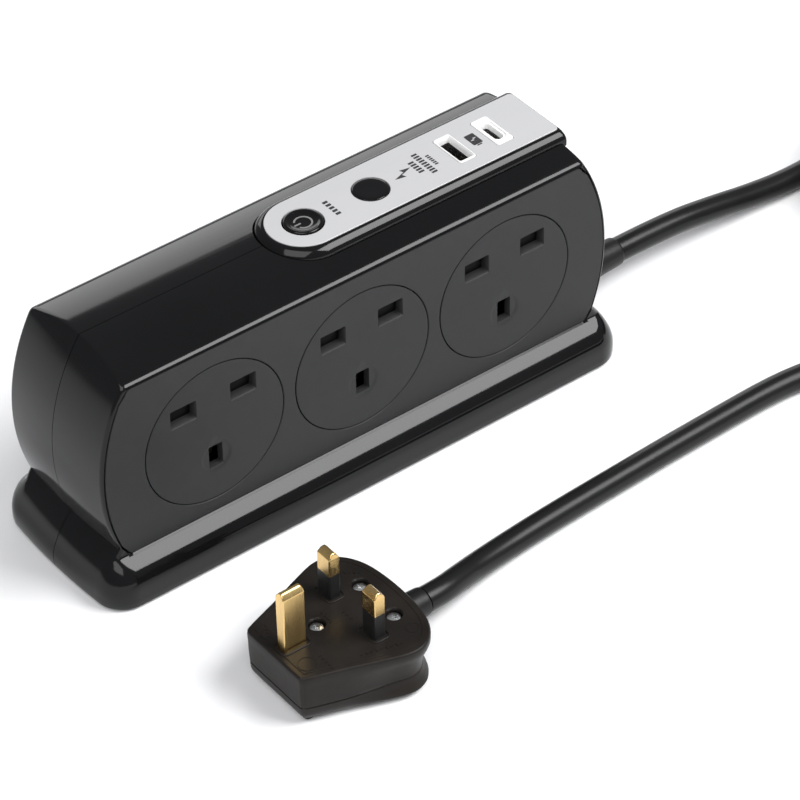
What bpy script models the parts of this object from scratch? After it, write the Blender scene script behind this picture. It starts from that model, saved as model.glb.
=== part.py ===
"""Double-sided mains extension block: six British sockets with sliding shutters, a power button,
two USB charging ports, a fitted lead wound in a coil, and its three-pin plug.

Frame: X along the block (+X is the lead's end), -Y is the front, +Z is up. The origin is on the
surface that the block stands on, below the middle of the casing. All sizes are in metres.
"""

import math

import bmesh
import bpy
from mathutils import Matrix, Vector

# Clearances
GAP = 0.0003                # between two pieces that touch
SLIP = 0.0004               # round a piece that slides

# Casing
FACE_Y = 0.025              # middle plane to the socket face
END_X = 0.0995              # middle of the block to the widest point of a bowed end
END_RADIUS = 0.070          # bow of the ends, seen from the front
END_MID_Z = 0.0455          # height of the widest point
END_CROWN = 0.0012          # bow of the ends, seen from above
WALL = 0.0026
EDGE_ROUND = 0.0013
CROWN_TOP = 0.0861          # ridge of the curved top
CROWN_RISE = 0.0044
FOOT_STAND = 0.0005         # how far the feet hold the casing off the surface
FOOT_RADIUS = 0.0050
FOOT_THICK = 0.0014
PLINTH_TOP = 0.0161
PLINTH_Y = FACE_Y + 0.0068
PLINTH_X = END_X + 0.0033
PLINTH_CORNER = 0.0095
PLINTH_ROLL = 0.0095        # round of the plinth's upper edge
PLINTH_SLOPE = 35           # degrees that its ledge slopes by, up to the socket plate
PLINTH_MEETS = 0.0205       # height where the plinth's sloping ends run into the body
CEILING = 0.0807            # inner top of the cavity

# Sockets
PITCH = 0.0564
SOCKET_Z = 0.0479           # centre of the round socket faces
FACE_RADIUS = 0.02575
FACE_THICK = 0.0030
PIN_SPACING = 0.01111       # middle to the line or the neutral pin
PIN_ROW = 0.0126            # face centre up to the line and neutral row
EARTH_DROP = 0.0096         # face centre down to the earth slot
SIDE_SLOT = (0.0088, 0.0061)
EARTH_SLOT = (0.0048, 0.0082)
PLATE_THICK = 0.0025
PLATE_TOP = 0.0803
PLATE_EDGE = END_X - 0.0025 # middle to the plate's widest point
SHUTTER_THICK = 0.0022
CONTACT_DEPTH = 0.0085
STRIP_THICK = 0.0010

# Controls and USB ports on the top
PAD_RADIUS = 0.0155
PAD_FLOOR = 0.0827
PAD_TOP = 0.0876
PAD_END_X = END_X - 0.0097  # middle to the pad's square end
LABEL_RADIUS = PAD_RADIUS - 0.0033
LABEL_THICK = 0.0006
BUTTON_X = -0.0030
BUTTON_RADIUS = 0.0064
BUTTON_TRAVEL = 0.0025
LENS_X = 0.0231
LENS_RADIUS = 0.0060
USB_A_X = 0.0562
USB_C_X = 0.0712
USB_FRAME = (0.0066, 0.0146)
USB_FRAME_DEPTH = 0.0024
USB_A_SHELL = (0.0057, 0.0132)
USB_C_SHELL = (0.0032, 0.0089)
BOARD_Z = 0.0705
BOARD_THICK = 0.0016

# Lead
CORD_RADIUS = 0.0043
CORD_Z = 0.0137             # height of the lead where it leaves the casing
GLAND_NECK = 0.0052
GLAND_END_X = END_X + 0.0245
COIL_X = 0.2560
COIL_Y = -0.0450
COIL_RADIUS = 0.0454        # middle of the turns
COIL_HALF_WIDTH = 0.0088
COIL_HEIGHT = 0.0270
TIE_THICK = 0.0009
TIE_WIDTH = 0.0100

# Plug, lying on its back: its earth pin stands at PLUG_X, PLUG_Y
PLUG_X = -0.0770
PLUG_Y = -0.0905
PLUG_FACE_Z = 0.0200
PLUG_SPLIT_Z = 0.0105
PLUG_END = 0.0406           # earth pin to the lead end of the plug
PLUG_NOSE = 0.0072          # earth pin to the other end
PLUG_NOSE_HALF = 0.0148
PLUG_HALF = 0.0254
PLUG_WIDEST = 0.0275        # earth pin to the widest place
PIN_ROW_GAP = 0.02223       # earth pin to the line and neutral pins
EARTH_PIN = (0.0080, 0.0040, 0.0227)
SIDE_PIN = (0.0040, 0.0063, 0.0177)
SLEEVE_LENGTH = 0.0094
SLEEVE_WALL = 0.0004
PLUG_CORD_Z = 0.0090

SCREW_X = PITCH / 2
SCREW_HEIGHTS = (0.0212, 0.0752)
SCREW_RADIUS = 0.00145
SCREW_HEAD = (0.0030, 0.0022)
SCREW_SUNK = 0.0008
BOSS_RADIUS = 0.0043


# ---------------------------------------------------------------- scene, materials, basic tools
for old in list(bpy.data.objects):
    bpy.data.objects.remove(old, do_unlink=True)

parts = bpy.data.collections.new("extension_block")
cutters = bpy.data.collections.new("cutters")
bpy.context.scene.collection.children.link(parts)
bpy.context.scene.collection.children.link(cutters)


def finish(name, colour, roughness, metallic=0.0):
    made = bpy.data.materials.new(name)
    made.use_nodes = True
    shader = made.node_tree.nodes["Principled BSDF"]
    shader.inputs["Base Color"].default_value = (*colour, 1.0)
    shader.inputs["Roughness"].default_value = roughness
    shader.inputs["Metallic"].default_value = metallic
    return made


GLOSS = finish("gloss_black_plastic", (0.006, 0.006, 0.007), 0.12)
MATT = finish("matt_black_plastic", (0.035, 0.035, 0.037), 0.50)
SHUTTER = finish("shutter_plastic", (0.010, 0.010, 0.010), 0.45)
SILVER = finish("silver_label", (0.55, 0.55, 0.56), 0.35, 0.3)
WHITE = finish("white_plastic", (0.85, 0.85, 0.84), 0.35)
BRASS = finish("brass", (0.75, 0.56, 0.26), 0.30, 1.0)
STEEL = finish("steel", (0.62, 0.62, 0.63), 0.30, 1.0)
BOARD = finish("circuit_board", (0.03, 0.14, 0.06), 0.50)
PLUG = finish("plug_moulding", (0.022, 0.019, 0.017), 0.50)
SHEATH = finish("cord_sheath", (0.012, 0.012, 0.012), 0.40)
RUBBER = finish("rubber", (0.020, 0.020, 0.020), 0.80)


def place(name, mesh, material, collection=parts):
    made = bpy.data.objects.new(name, mesh)
    collection.objects.link(made)
    if material:
        made.data.materials.append(material)
    if collection is cutters:
        made.hide_render = True
        made.display_type = "WIRE"
    return made


def mesh_of(builder, name):
    mesh = bpy.data.meshes.new(name)
    builder.normal_update()
    builder.to_mesh(mesh)
    builder.free()
    return mesh


def add_box(builder, low, high):
    """A box between two corners."""
    low = Vector(low)
    high = Vector(high)
    middle = (low + high) / 2
    size = high - low
    matrix = Matrix.Translation(middle) @ Matrix.Diagonal((*size, 1.0))
    bmesh.ops.create_cube(builder, size=1.0, matrix=matrix)


def add_rod(builder, centre, radius, length, axis="Z", sides=32, top_radius=None):
    """A cylinder or a cone about its centre, its first radius at the lower end of its axis."""
    turn = {
        "X": Matrix.Rotation(math.pi / 2, 4, "Y"),
        "Y": Matrix.Rotation(-math.pi / 2, 4, "X"),
        "Z": Matrix.Identity(4),
    }[axis]
    bmesh.ops.create_cone(
        builder,
        cap_ends=True,
        segments=sides,
        radius1=radius,
        radius2=radius if top_radius is None else top_radius,
        depth=length,
        matrix=Matrix.Translation(centre) @ turn,
    )


def boxes(name, corners, material, collection=parts):
    builder = bmesh.new()
    for low, high in corners:
        add_box(builder, low, high)
    return place(name, mesh_of(builder, name), material, collection)


def rods(name, rows, material, collection=parts, **kind):
    builder = bmesh.new()
    for centre, radius, length in rows:
        add_rod(builder, centre, radius, length, **kind)
    return place(name, mesh_of(builder, name), material, collection)


def prism(name, outline, low, high, axis, material, collection=parts):
    """A flat outline pushed from low to high along an axis. An outline is (X, Z) for Y and (X, Y) for Z."""
    builder = bmesh.new()
    if axis == "Y":
        points = [Vector((x, low, z)) for x, z in outline]
        push = Vector((0, high - low, 0))
    else:
        points = [Vector((x, y, low)) for x, y in outline]
        push = Vector((0, 0, high - low))
    face = builder.faces.new([builder.verts.new(point) for point in points])
    made = bmesh.ops.extrude_face_region(builder, geom=[face])
    moved = [item for item in made["geom"] if isinstance(item, bmesh.types.BMVert)]
    bmesh.ops.translate(builder, verts=moved, vec=push)
    bmesh.ops.recalc_face_normals(builder, faces=builder.faces)
    return place(name, mesh_of(builder, name), material, collection)


def loft(name, rings, material, collection=parts):
    """A closed solid through rings that have the same number of points, with a flat cap on each end."""
    builder = bmesh.new()
    rows = [[builder.verts.new(point) for point in ring] for ring in rings]
    count = len(rows[0])
    for lower, upper in zip(rows, rows[1:]):
        for i in range(count):
            j = (i + 1) % count
            builder.faces.new((lower[i], lower[j], upper[j], upper[i]))
    builder.faces.new(rows[0])
    builder.faces.new(rows[-1])
    bmesh.ops.recalc_face_normals(builder, faces=builder.faces)
    return place(name, mesh_of(builder, name), material, collection)


def combine(target, other, operation):
    change = target.modifiers.new(f"{operation.lower()}_{other.name}", "BOOLEAN")
    change.operation = operation
    change.object = other
    change.solver = "EXACT"
    return target


def cut(target, cutter):
    return combine(target, cutter, "DIFFERENCE")


def join(target, other):
    return combine(target, other, "UNION")


def smooth(target, degrees=35):
    target.data.shade_smooth()
    target.data.set_sharp_from_angle(angle=math.radians(degrees))
    return target


def arc(centre_x, centre_y, radius, start, end, steps):
    """Points on an arc between two angles in degrees."""
    made = []
    for step in range(steps + 1):
        angle = math.radians(start + (end - start) * step / steps)
        made.append((centre_x + radius * math.cos(angle), centre_y + radius * math.sin(angle)))
    return made


def turned(name, profile, origin, axis, material, steps=32, collection=parts):
    """A solid turned about an axis through origin. The profile is (distance along, radius), first to last."""
    builder = bmesh.new()
    verts = [builder.verts.new((radius, 0, along)) for along, radius in profile]
    for first, second in zip(verts, verts[1:]):
        builder.edges.new((first, second))
    bmesh.ops.spin(
        builder,
        geom=builder.verts[:] + builder.edges[:],
        cent=(0, 0, 0),
        axis=(0, 0, 1),
        angle=math.tau,
        steps=steps,
        use_merge=True,
    )
    bmesh.ops.remove_doubles(builder, verts=builder.verts[:], dist=1e-7)
    bmesh.ops.recalc_face_normals(builder, faces=builder.faces)
    mesh = mesh_of(builder, name)
    turn = {"X": Matrix.Rotation(math.pi / 2, 4, "Y"), "Z": Matrix.Identity(4)}[axis]
    mesh.transform(Matrix.Translation(origin) @ turn)
    return place(name, mesh, material, collection)


# ---------------------------------------------------------------- casing
def end_x(z):
    """Half length of the casing at a height, at the middle plane."""
    return END_X - END_RADIUS + math.sqrt(END_RADIUS**2 - (z - END_MID_Z) ** 2)


def plinth_end_x(z):
    """Half length of the plinth at a height: its ends lean in as they rise, and run into the body's ends."""
    rise = max(0.0, z - 0.0055) / (PLINTH_MEETS - 0.0055)
    return PLINTH_X - (PLINTH_X - end_x(PLINTH_MEETS)) * rise**1.6


def crown_z(y):
    return CROWN_TOP - CROWN_RISE * (y / FACE_Y) ** 2


def half_ring(z, half_x, half_y, corner, side, start=GAP / 2):
    """One level of half the casing: from the joint round one end, along the face and round the other end."""
    corner = min(corner, 0.7 * half_y)
    quarter = []
    straight = half_y - corner
    for step in range(4):
        y = start + (straight - start) * step / 3
        quarter.append((half_x - END_CROWN * (y / FACE_Y) ** 2, y))
    centre = quarter[-1][0] - corner
    quarter += arc(centre, straight, corner, 0, 90, 4)[1:]
    outline = [(-x, y) for x, y in quarter] + [(x, y) for x, y in reversed(quarter)]
    return [Vector((x, side * y, z)) for x, y in outline]


def casing_levels():
    """(height, half length, half depth, corner) from the foot of the plinth to the ridge."""
    foot = FOOT_STAND
    levels = [
        (foot, PLINTH_X - 0.0010, PLINTH_Y - 0.0008, PLINTH_CORNER - 0.0005),
        (foot + 0.0008, PLINTH_X - 0.0002, PLINTH_Y, PLINTH_CORNER),
        (0.0055, PLINTH_X, PLINTH_Y, PLINTH_CORNER),
    ]
    lean = math.radians(PLINTH_SLOPE)
    rolled = PLINTH_ROLL * (1 - math.sin(lean))
    slope_rise = (PLINTH_Y - rolled - FACE_Y - 0.0003) * math.tan(lean)
    start = PLINTH_TOP - slope_rise - PLINTH_ROLL * math.cos(lean)
    for step in range(5):
        angle = (math.pi / 2 - lean) * step / 4
        inward = PLINTH_ROLL * (1 - math.cos(angle))
        z = start + PLINTH_ROLL * math.sin(angle)
        levels.append((z, plinth_end_x(z), PLINTH_Y - inward, PLINTH_CORNER - inward))
    levels.append((PLINTH_TOP + 0.0001, plinth_end_x(PLINTH_TOP) - 0.0002, FACE_Y + 0.0003, 0.0045))
    for z in (0.0167, 0.0184, PLINTH_MEETS):
        levels.append((z, plinth_end_x(z), FACE_Y, EDGE_ROUND + 0.002 * (PLINTH_MEETS - z) / 0.004))
    body = [0.024, 0.030, 0.037, 0.044, 0.051, 0.058, 0.065, 0.071, 0.0765, 0.0804]
    levels += [(z, end_x(z), FACE_Y, EDGE_ROUND) for z in body]
    levels.append((0.0812, end_x(0.0812), FACE_Y - 0.0003, EDGE_ROUND))
    for y in (0.0241, 0.0225, 0.0200, 0.0170, 0.0135, 0.0095, 0.0055, 0.0015):
        levels.append((crown_z(y), end_x(crown_z(y)), y, EDGE_ROUND))
    return levels


def cavity_levels():
    floor = FOOT_STAND + WALL
    under = PLINTH_TOP - WALL
    room = PLINTH_Y - WALL - 0.0008
    inner_y = FACE_Y - WALL
    body = (0.0230, 0.030, 0.042, 0.054, 0.066, 0.0755, CEILING)
    return [
        (floor, plinth_end_x(floor) - WALL - 0.0004, room, 0.0060),
        (0.0100, plinth_end_x(0.0100) - WALL - 0.0010, room, 0.0060),
        (under - 0.0010, plinth_end_x(under) - WALL - 0.0012, room - 0.0010, 0.0055),
        (under, plinth_end_x(under) - WALL - 0.0016, inner_y, 0.0015),
        (0.0180, plinth_end_x(0.0180) - WALL - 0.0014, inner_y, 0.0015),
    ] + [(z, end_x(z) - WALL, inner_y, 0.0010) for z in body]


def plate_outline(grow=0.0):
    """Outline of a socket plate: flat top and bottom between bowed ends, with small corners."""
    bottom = PLINTH_TOP + 0.0007 - grow
    top = PLATE_TOP + grow
    inset = END_X - PLATE_EDGE
    corner = 0.0015
    right = []
    for step in range(15):
        z = bottom + corner + (top - bottom - 2 * corner) * step / 14
        right.append((end_x(z) - inset + grow, z))
    right.insert(0, (end_x(bottom) - inset + grow - corner, bottom))
    right.append((end_x(top) - inset + grow - corner, top))
    return right + [(-x, z) for x, z in reversed(right)]


def pad_outline(radius, z, flush=0.0):
    """Outline of the control pad: round at its -X end, square at the end where it meets the casing's end."""
    left = arc(BUTTON_X, 0, radius, 90, 270, 20)
    corner = 0.0012
    right_x = PAD_END_X - 0.45 * max(0.0, z - PAD_FLOOR - 0.0028) - flush
    right = arc(right_x - corner, -radius + corner, corner, -90, 0, 3)
    right += arc(right_x - corner, radius - corner, corner, 0, 90, 3)
    return left + right


def rect(centre, size):
    (x, y), (w, h) = centre, size
    return [(x - w / 2, y - h / 2), (x + w / 2, y - h / 2), (x + w / 2, y + h / 2), (x - w / 2, y + h / 2)]


FEET = [(side * (END_X - 0.0155), y) for side in (-1, 1) for y in (0.0015 - FACE_Y, FACE_Y - 0.0015)]


def open_pad_outline(radius):
    """The pad's outline carried past the casing's end, for the cut that takes it."""
    return arc(BUTTON_X, 0, radius, 90, 270, 20) + [(END_X + 0.0105, -radius), (END_X + 0.0105, radius)]


pad_seat = prism("cut_pad_seat", open_pad_outline(PAD_RADIUS + GAP), PAD_FLOOR - GAP, PAD_TOP + 0.004, "Z",
                 None, cutters)
pad_through = prism(
    "cut_pad_through",
    arc(BUTTON_X, 0, PAD_RADIUS - 0.003, 90, 270, 20)
    + [(END_X - 0.0190, 0.003 - PAD_RADIUS), (END_X - 0.0190, PAD_RADIUS - 0.003)],
    CEILING - 0.008, PAD_TOP, "Z", None, cutters,
)
gland_hole = rods("cut_gland_hole", [((END_X - 0.0020, 0, CORD_Z), GLAND_NECK + GAP, 0.030)], None, cutters,
                  axis="X")
foot_pockets = rods(
    "cut_foot_pockets",
    [((x, y, FOOT_STAND), FOOT_RADIUS + GAP, 2 * (FOOT_THICK - FOOT_STAND + GAP)) for x, y in FEET],
    None, cutters,
)
sides = {"front": -1, "rear": 1}
for word, side in sides.items():
    outer = [half_ring(*level, side) for level in casing_levels()]
    shell = loft(f"{word}_shell", outer, GLOSS)
    inner = [half_ring(*level, side, start=-0.002) for level in cavity_levels()]
    cut(shell, loft(f"cut_{word}_cavity", inner, None, cutters))
    near = side * (FACE_Y - PLATE_THICK - GAP)
    far = side * (FACE_Y + 0.002)
    cut(shell, prism(f"cut_{word}_window", plate_outline(GAP), near, far, "Y", None, cutters))
    for cutter in (pad_seat, pad_through, gland_hole, foot_pockets):
        cut(shell, cutter)
    smooth(shell)

for number, (x, y) in enumerate(FEET, 1):
    profile = [(0, 0), (0, FOOT_RADIUS - 0.0004), (0.0004, FOOT_RADIUS), (FOOT_THICK, FOOT_RADIUS),
               (FOOT_THICK, 0)]
    smooth(turned(f"rubber_foot_{number}", profile, (x, y, 0), "Z", RUBBER, steps=24))


# ---------------------------------------------------------------- sockets
def socket_centres(side):
    """Centres of the three sockets of a side, counted from the left as that side is looked at."""
    return [(-side * x, SOCKET_Z) for x in (-PITCH, 0.0, PITCH)]


def between(side, near, far):
    """Two distances behind a socket face, as Y values in order."""
    return tuple(sorted((side * (FACE_Y - near), side * (FACE_Y - far))))


def slot_holes(x, z, grow=0.0):
    """The three slots of a socket as (centre, size)."""
    side_size = (SIDE_SLOT[0] + grow, SIDE_SLOT[1] + grow)
    earth_size = (EARTH_SLOT[0] + grow, EARTH_SLOT[1] + grow)
    return [
        ((x - PIN_SPACING, z + PIN_ROW), side_size),
        ((x + PIN_SPACING, z + PIN_ROW), side_size),
        ((x, z - EARTH_DROP), earth_size),
    ]


def box_in_face(centre, size, near, far, side):
    (x, z), (w, h) = centre, size
    low_y, high_y = between(side, near, far)
    return ((x - w / 2, low_y, z - h / 2), (x + w / 2, high_y, z + h / 2))


for word, side in sides.items():
    centres = socket_centres(side)
    low_y, high_y = between(side, 0, PLATE_THICK)
    plate = prism(f"{word}_socket_plate", plate_outline(), low_y, high_y, "Y", MATT)
    boss_near, boss_far = between(side, PLATE_THICK - 0.001, FACE_Y - GAP / 2)
    boss_rows = [
        ((x, (boss_near + boss_far) / 2, z), BOSS_RADIUS, boss_far - boss_near)
        for x in (-SCREW_X, SCREW_X)
        for z in SCREW_HEIGHTS
    ]
    join(plate, rods(f"add_{word}_bosses", boss_rows, None, cutters, axis="Y", sides=20))
    bores = [((x, 0, z), SCREW_RADIUS + GAP, 0.042) for x in (-SCREW_X, SCREW_X) for z in SCREW_HEIGHTS]
    if word == "rear":
        bores = [((x, 0.010, z), SCREW_RADIUS + GAP, 0.060) for (x, _, z), _, _ in bores]
    cut(plate, rods(f"cut_{word}_bores", bores, None, cutters, axis="Y", sides=16))
    if word == "rear":
        sunk = 2 * (SCREW_SUNK + SCREW_HEAD[1] + GAP)
        heads = [((x, FACE_Y, z), SCREW_HEAD[0] + GAP, sunk) for (x, _, z), _, _ in bores]
        cut(plate, rods("cut_screw_heads", heads, None, cutters, axis="Y", sides=24))
    holes = [((x, side * FACE_Y, z), FACE_RADIUS + GAP, 0.012) for x, z in centres]
    cut(plate, rods(f"cut_{word}_face_holes", holes, None, cutters, axis="Y", sides=64))

    for number, (x, z) in enumerate(centres, 1):
        tag = f"{word}_{number}"
        low_y, high_y = between(side, 0, FACE_THICK)
        face = rods(f"socket_face_{tag}", [((x, (low_y + high_y) / 2, z), FACE_RADIUS, FACE_THICK)], MATT,
                    axis="Y", sides=64)
        slots = [
            box_in_face(centre, size, -0.001, FACE_THICK + 0.001, side) for centre, size in slot_holes(x, z)
        ]
        cut(face, boxes(f"cut_slots_{tag}", slots, None, cutters))
        smooth(face)

        # The shutter closes the line and neutral slots. Its leg hangs over the earth slot's top,
        # where the plug's long earth pin meets it first and lifts it.
        near = FACE_THICK + SLIP
        far = near + SHUTTER_THICK
        row_z = z + PIN_ROW
        half = PIN_SPACING + SIDE_SLOT[0] / 2 + 0.0012
        low = row_z - SIDE_SLOT[1] / 2 - 0.0008
        leg_low = z - EARTH_DROP + EARTH_SLOT[1] / 2 - 0.0022
        leg = EARTH_SLOT[0] / 2 + 0.0012
        outline = [
            (x - half, low), (x - leg, low), (x - leg, leg_low), (x + leg, leg_low),
            (x + leg, low), (x + half, low), (x + half, low + SIDE_SLOT[1] + 0.0014),
            (x - half, low + SIDE_SLOT[1] + 0.0014),
        ]
        low_y, high_y = between(side, near, far)
        prism(f"shutter_{tag}", outline, low_y, high_y, "Y", SHUTTER)

    # Brass strips: each carries a spring contact behind its three slots.
    behind = FACE_THICK + SHUTTER_THICK + 2 * SLIP + 0.0006
    rear_of = behind + CONTACT_DEPTH
    wall = 0.0009
    bars = {
        "live": (-side * -PIN_SPACING, PIN_ROW, SIDE_SLOT, 1),
        "neutral": (-side * PIN_SPACING, PIN_ROW, SIDE_SLOT, -1),
        "earth": (0.0, -EARTH_DROP, EARTH_SLOT, -1),
    }
    for metal, (shift, rise, slot, above) in bars.items():
        outer_size = (slot[0] + 2 * wall - 0.0012, slot[1] + 2 * wall - 0.0012)
        inner_size = (slot[0] - 0.0012, slot[1] - 0.0012)
        cups = [((x + shift, z + rise), outer_size) for x, z in centres]
        strip_near = rear_of - STRIP_THICK
        # Live runs above its contacts and neutral below, so that they never cross.
        reach = 0.0046
        edge_z = SOCKET_Z + rise + above * (outer_size[1] / 2 + reach)
        strip_low, strip_high = sorted((edge_z, edge_z - above * 0.0034))
        xs = [x + shift for x, _ in centres]
        strip_low_y, strip_high_y = between(side, strip_near, rear_of)
        bar = boxes(
            f"{metal}_strip_{word}",
            [((min(xs) - 0.006, strip_low_y, strip_low), (max(xs) + 0.006, strip_high_y, strip_high))],
            BRASS,
        )
        tabs = []
        for x in xs:
            low, high = sorted((SOCKET_Z + rise, edge_z - above * 0.001))
            tabs.append(((x - 0.0022, strip_low_y, low), (x + 0.0022, strip_high_y, high)))
        join(bar, boxes(f"add_{metal}_tabs_{word}", tabs, None, cutters))
        solid_cups = [box_in_face(centre, size, behind, rear_of, side) for centre, size in cups]
        join(bar, boxes(f"add_{metal}_cups_{word}", solid_cups, None, cutters))
        hollows = [
            box_in_face(centre, inner_size, behind - 0.001, rear_of - STRIP_THICK, side) for centre, _ in cups
        ]
        cut(bar, boxes(f"cut_{metal}_cups_{word}", hollows, None, cutters))

for number, (x, z) in enumerate([(x, z) for x in (-SCREW_X, SCREW_X) for z in SCREW_HEIGHTS], 1):
    head_y = FACE_Y - SCREW_SUNK
    neck_y = head_y - SCREW_HEAD[1]
    screw = rods(f"casing_screw_{number}", [((x, (head_y + neck_y) / 2, z), SCREW_HEAD[0], SCREW_HEAD[1])],
                 STEEL,
                 axis="Y", sides=24)
    shank_end = -0.015
    join(screw, rods(f"add_screw_shank_{number}", [((x, (neck_y + 0.0005 + shank_end) / 2, z), SCREW_RADIUS,
                                                   neck_y + 0.0005 - shank_end)], None, cutters, axis="Y",
                                                   sides=16))
    cross = [
        ((x - 0.0017, head_y - 0.0010, z - 0.00035), (x + 0.0017, head_y + 0.001, z + 0.00035)),
    ]
    cut(screw, boxes(f"cut_screw_slot_{number}", cross, None, cutters))


# ---------------------------------------------------------------- controls and USB ports
pad_rows = [
    (PAD_FLOOR, PAD_RADIUS),
    (PAD_TOP - 0.0028, PAD_RADIUS),
    (PAD_TOP - 0.0018, PAD_RADIUS - 0.0006),
    (PAD_TOP - 0.0010, PAD_RADIUS - 0.0014),
    (PAD_TOP - 0.0004, PAD_RADIUS - 0.0021),
    (PAD_TOP, PAD_RADIUS - 0.0030),
]
pad_rings = [[Vector((x, y, z)) for x, y in pad_outline(radius, z)] for z, radius in pad_rows]
pad = loft("control_pad", pad_rings, GLOSS)
label_floor = PAD_TOP + 0.0002 - LABEL_THICK
recess = prism("cut_label_seat", pad_outline(LABEL_RADIUS + GAP, PAD_TOP, 0.0010), label_floor - GAP,
               PAD_TOP + 0.004, "Z",
               None, cutters)
under = prism("cut_pad_underside",
              arc(BUTTON_X, 0, PAD_RADIUS - 0.0040, 90, 270, 16)
              + [(END_X - 0.0195, 0.0040 - PAD_RADIUS), (END_X - 0.0195, PAD_RADIUS - 0.0040)],
              PAD_FLOOR - 0.001, PAD_FLOOR + 0.0018, "Z", None, cutters)
control_holes = rods(
    "cut_control_holes",
    [((BUTTON_X, 0, PAD_TOP), BUTTON_RADIUS + SLIP, 0.012), ((LENS_X, 0, PAD_TOP), LENS_RADIUS + GAP, 0.012)],
    None, cutters, sides=48,
)
usb_holes = boxes(
    "cut_usb_holes",
    [
        ((x - USB_FRAME[0] / 2 - GAP, -USB_FRAME[1] / 2 - GAP, PAD_TOP - 0.008),
         (x + USB_FRAME[0] / 2 + GAP, USB_FRAME[1] / 2 + GAP, PAD_TOP + 0.004))
        for x in (USB_A_X, USB_C_X)
    ],
    None, cutters,
)
for cutter in (recess, under, control_holes, usb_holes):
    cut(pad, cutter)
smooth(pad)

label = prism("silver_label", pad_outline(LABEL_RADIUS, PAD_TOP, 0.0010 + GAP), label_floor,
              label_floor + LABEL_THICK, "Z", SILVER)
cut(label, control_holes)
cut(label, usb_holes)

STEM_REACH = 0.0016
# The cap is dished for a fingertip, and its stem reaches down into the switch.
button_profile = [
    (-STEM_REACH, 0.0), (-STEM_REACH, 0.0022), (0.0048, 0.0022), (0.0048, BUTTON_RADIUS - 0.0010),
    (0.0018, BUTTON_RADIUS - 0.0010),
    (0.0018, BUTTON_RADIUS), (0.0073, BUTTON_RADIUS), (0.0078, BUTTON_RADIUS - 0.0005),
    (0.0078, BUTTON_RADIUS - 0.0011),
    (0.0075, BUTTON_RADIUS - 0.0022), (0.0074, 0.0),
]
STEM_BOTTOM = PAD_TOP - 0.0071
smooth(turned("power_button", button_profile, (BUTTON_X, 0, STEM_BOTTOM), "Z", GLOSS, steps=48))
button = bpy.data.objects["power_button"]
button.data.transform(Matrix.Translation((-BUTTON_X, 0, -STEM_BOTTOM)))
button.location = (BUTTON_X, 0, STEM_BOTTOM)

lens_profile = [
    (0.0, 0.0), (0.0, LENS_RADIUS), (0.0035, LENS_RADIUS), (0.0038, LENS_RADIUS - 0.0003), (0.0039, 0.0),
]
smooth(turned("status_lens", lens_profile, (LENS_X, 0, PAD_TOP - 0.0035), "Z", GLOSS, steps=48))

SWITCH_TOP = STEM_BOTTOM + GAP
switch = boxes("power_switch", [((BUTTON_X - 0.011, -0.008, SWITCH_TOP - 0.0098),
                                 (BUTTON_X + 0.011, 0.008, SWITCH_TOP - 0.0016))], MATT)
cut(switch, rods("cut_switch_bore", [((BUTTON_X, 0, SWITCH_TOP), 0.0022 + SLIP,
                                 2 * (STEM_REACH + BUTTON_TRAVEL + 0.0008))], None,
                 cutters))

for word, x, shell, opening, tongue in (
    ("usb_a", USB_A_X, USB_A_SHELL, (0.0048, 0.0124), (0.0018, 0.0110)),
    ("usb_c", USB_C_X, USB_C_SHELL, (0.0032, 0.0092), (0.0007, 0.0064)),
):
    top = label_floor + LABEL_THICK + 0.0002
    frame_floor = top - USB_FRAME_DEPTH
    frame = prism(f"{word}_frame", rect((x, 0), USB_FRAME), frame_floor, top, "Z", WHITE)
    bevel = frame.modifiers.new("round_corners", "BEVEL")
    bevel.width = 0.0004
    bevel.segments = 2
    cut(frame, prism(f"cut_{word}_frame", rect((x, 0), opening), frame_floor - 0.001, top + 0.001, "Z", None,
                     cutters))
    shell_top = frame_floor - GAP
    board_top = BOARD_Z + BOARD_THICK
    can = prism(f"{word}_shell", rect((x, 0), shell), board_top + GAP, shell_top, "Z", STEEL)
    hollow = (shell[0] - 0.0006, shell[1] - 0.0006)
    depth = 0.0095
    cut(can, prism(f"cut_{word}_shell", rect((x, 0), hollow), shell_top - depth, shell_top + 0.001, "Z",
                   None, cutters))
    tongue_x = x - (0.0010 if word == "usb_a" else 0.0)
    join(can, prism(f"add_{word}_tongue", rect((tongue_x, 0), tongue), shell_top - depth - 0.0005,
                    shell_top - 0.0012, "Z", None, cutters))

usb_board = boxes("usb_charger_board",
                  [((0.0440, -0.0160, BOARD_Z), (0.0800, 0.0160, BOARD_Z + BOARD_THICK))], BOARD)
on_board = BOARD_Z + BOARD_THICK - 0.0003
join(usb_board, boxes("add_usb_board_parts", [
    ((0.0450, 0.0090, on_board), (0.0570, 0.0155, on_board + 0.0070)),
    ((0.0600, 0.0095, on_board), (0.0680, 0.0150, on_board + 0.0040)),
    ((0.0460, -0.0150, on_board), (0.0540, -0.0095, on_board + 0.0030)),
], None, cutters))

surge_low = BOARD_Z + 0.0012
surge_board = boxes("surge_protection_board",
                    [((0.0195 - END_X, -0.0160, surge_low),
                      (-SCREW_X - BOSS_RADIUS - 0.0015, 0.0160, surge_low + BOARD_THICK))], BOARD)
on_board = surge_low + BOARD_THICK - 0.0003
join(surge_board, rods("add_varistors", [
    ((-0.0690, -0.0070, on_board + 0.0020), 0.0065, 0.0040),
    ((-0.0690, 0.0080, on_board + 0.0020), 0.0065, 0.0040),
    ((-0.0500, 0.0, on_board + 0.0020), 0.0065, 0.0040),
], None, cutters, sides=24))


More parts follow.
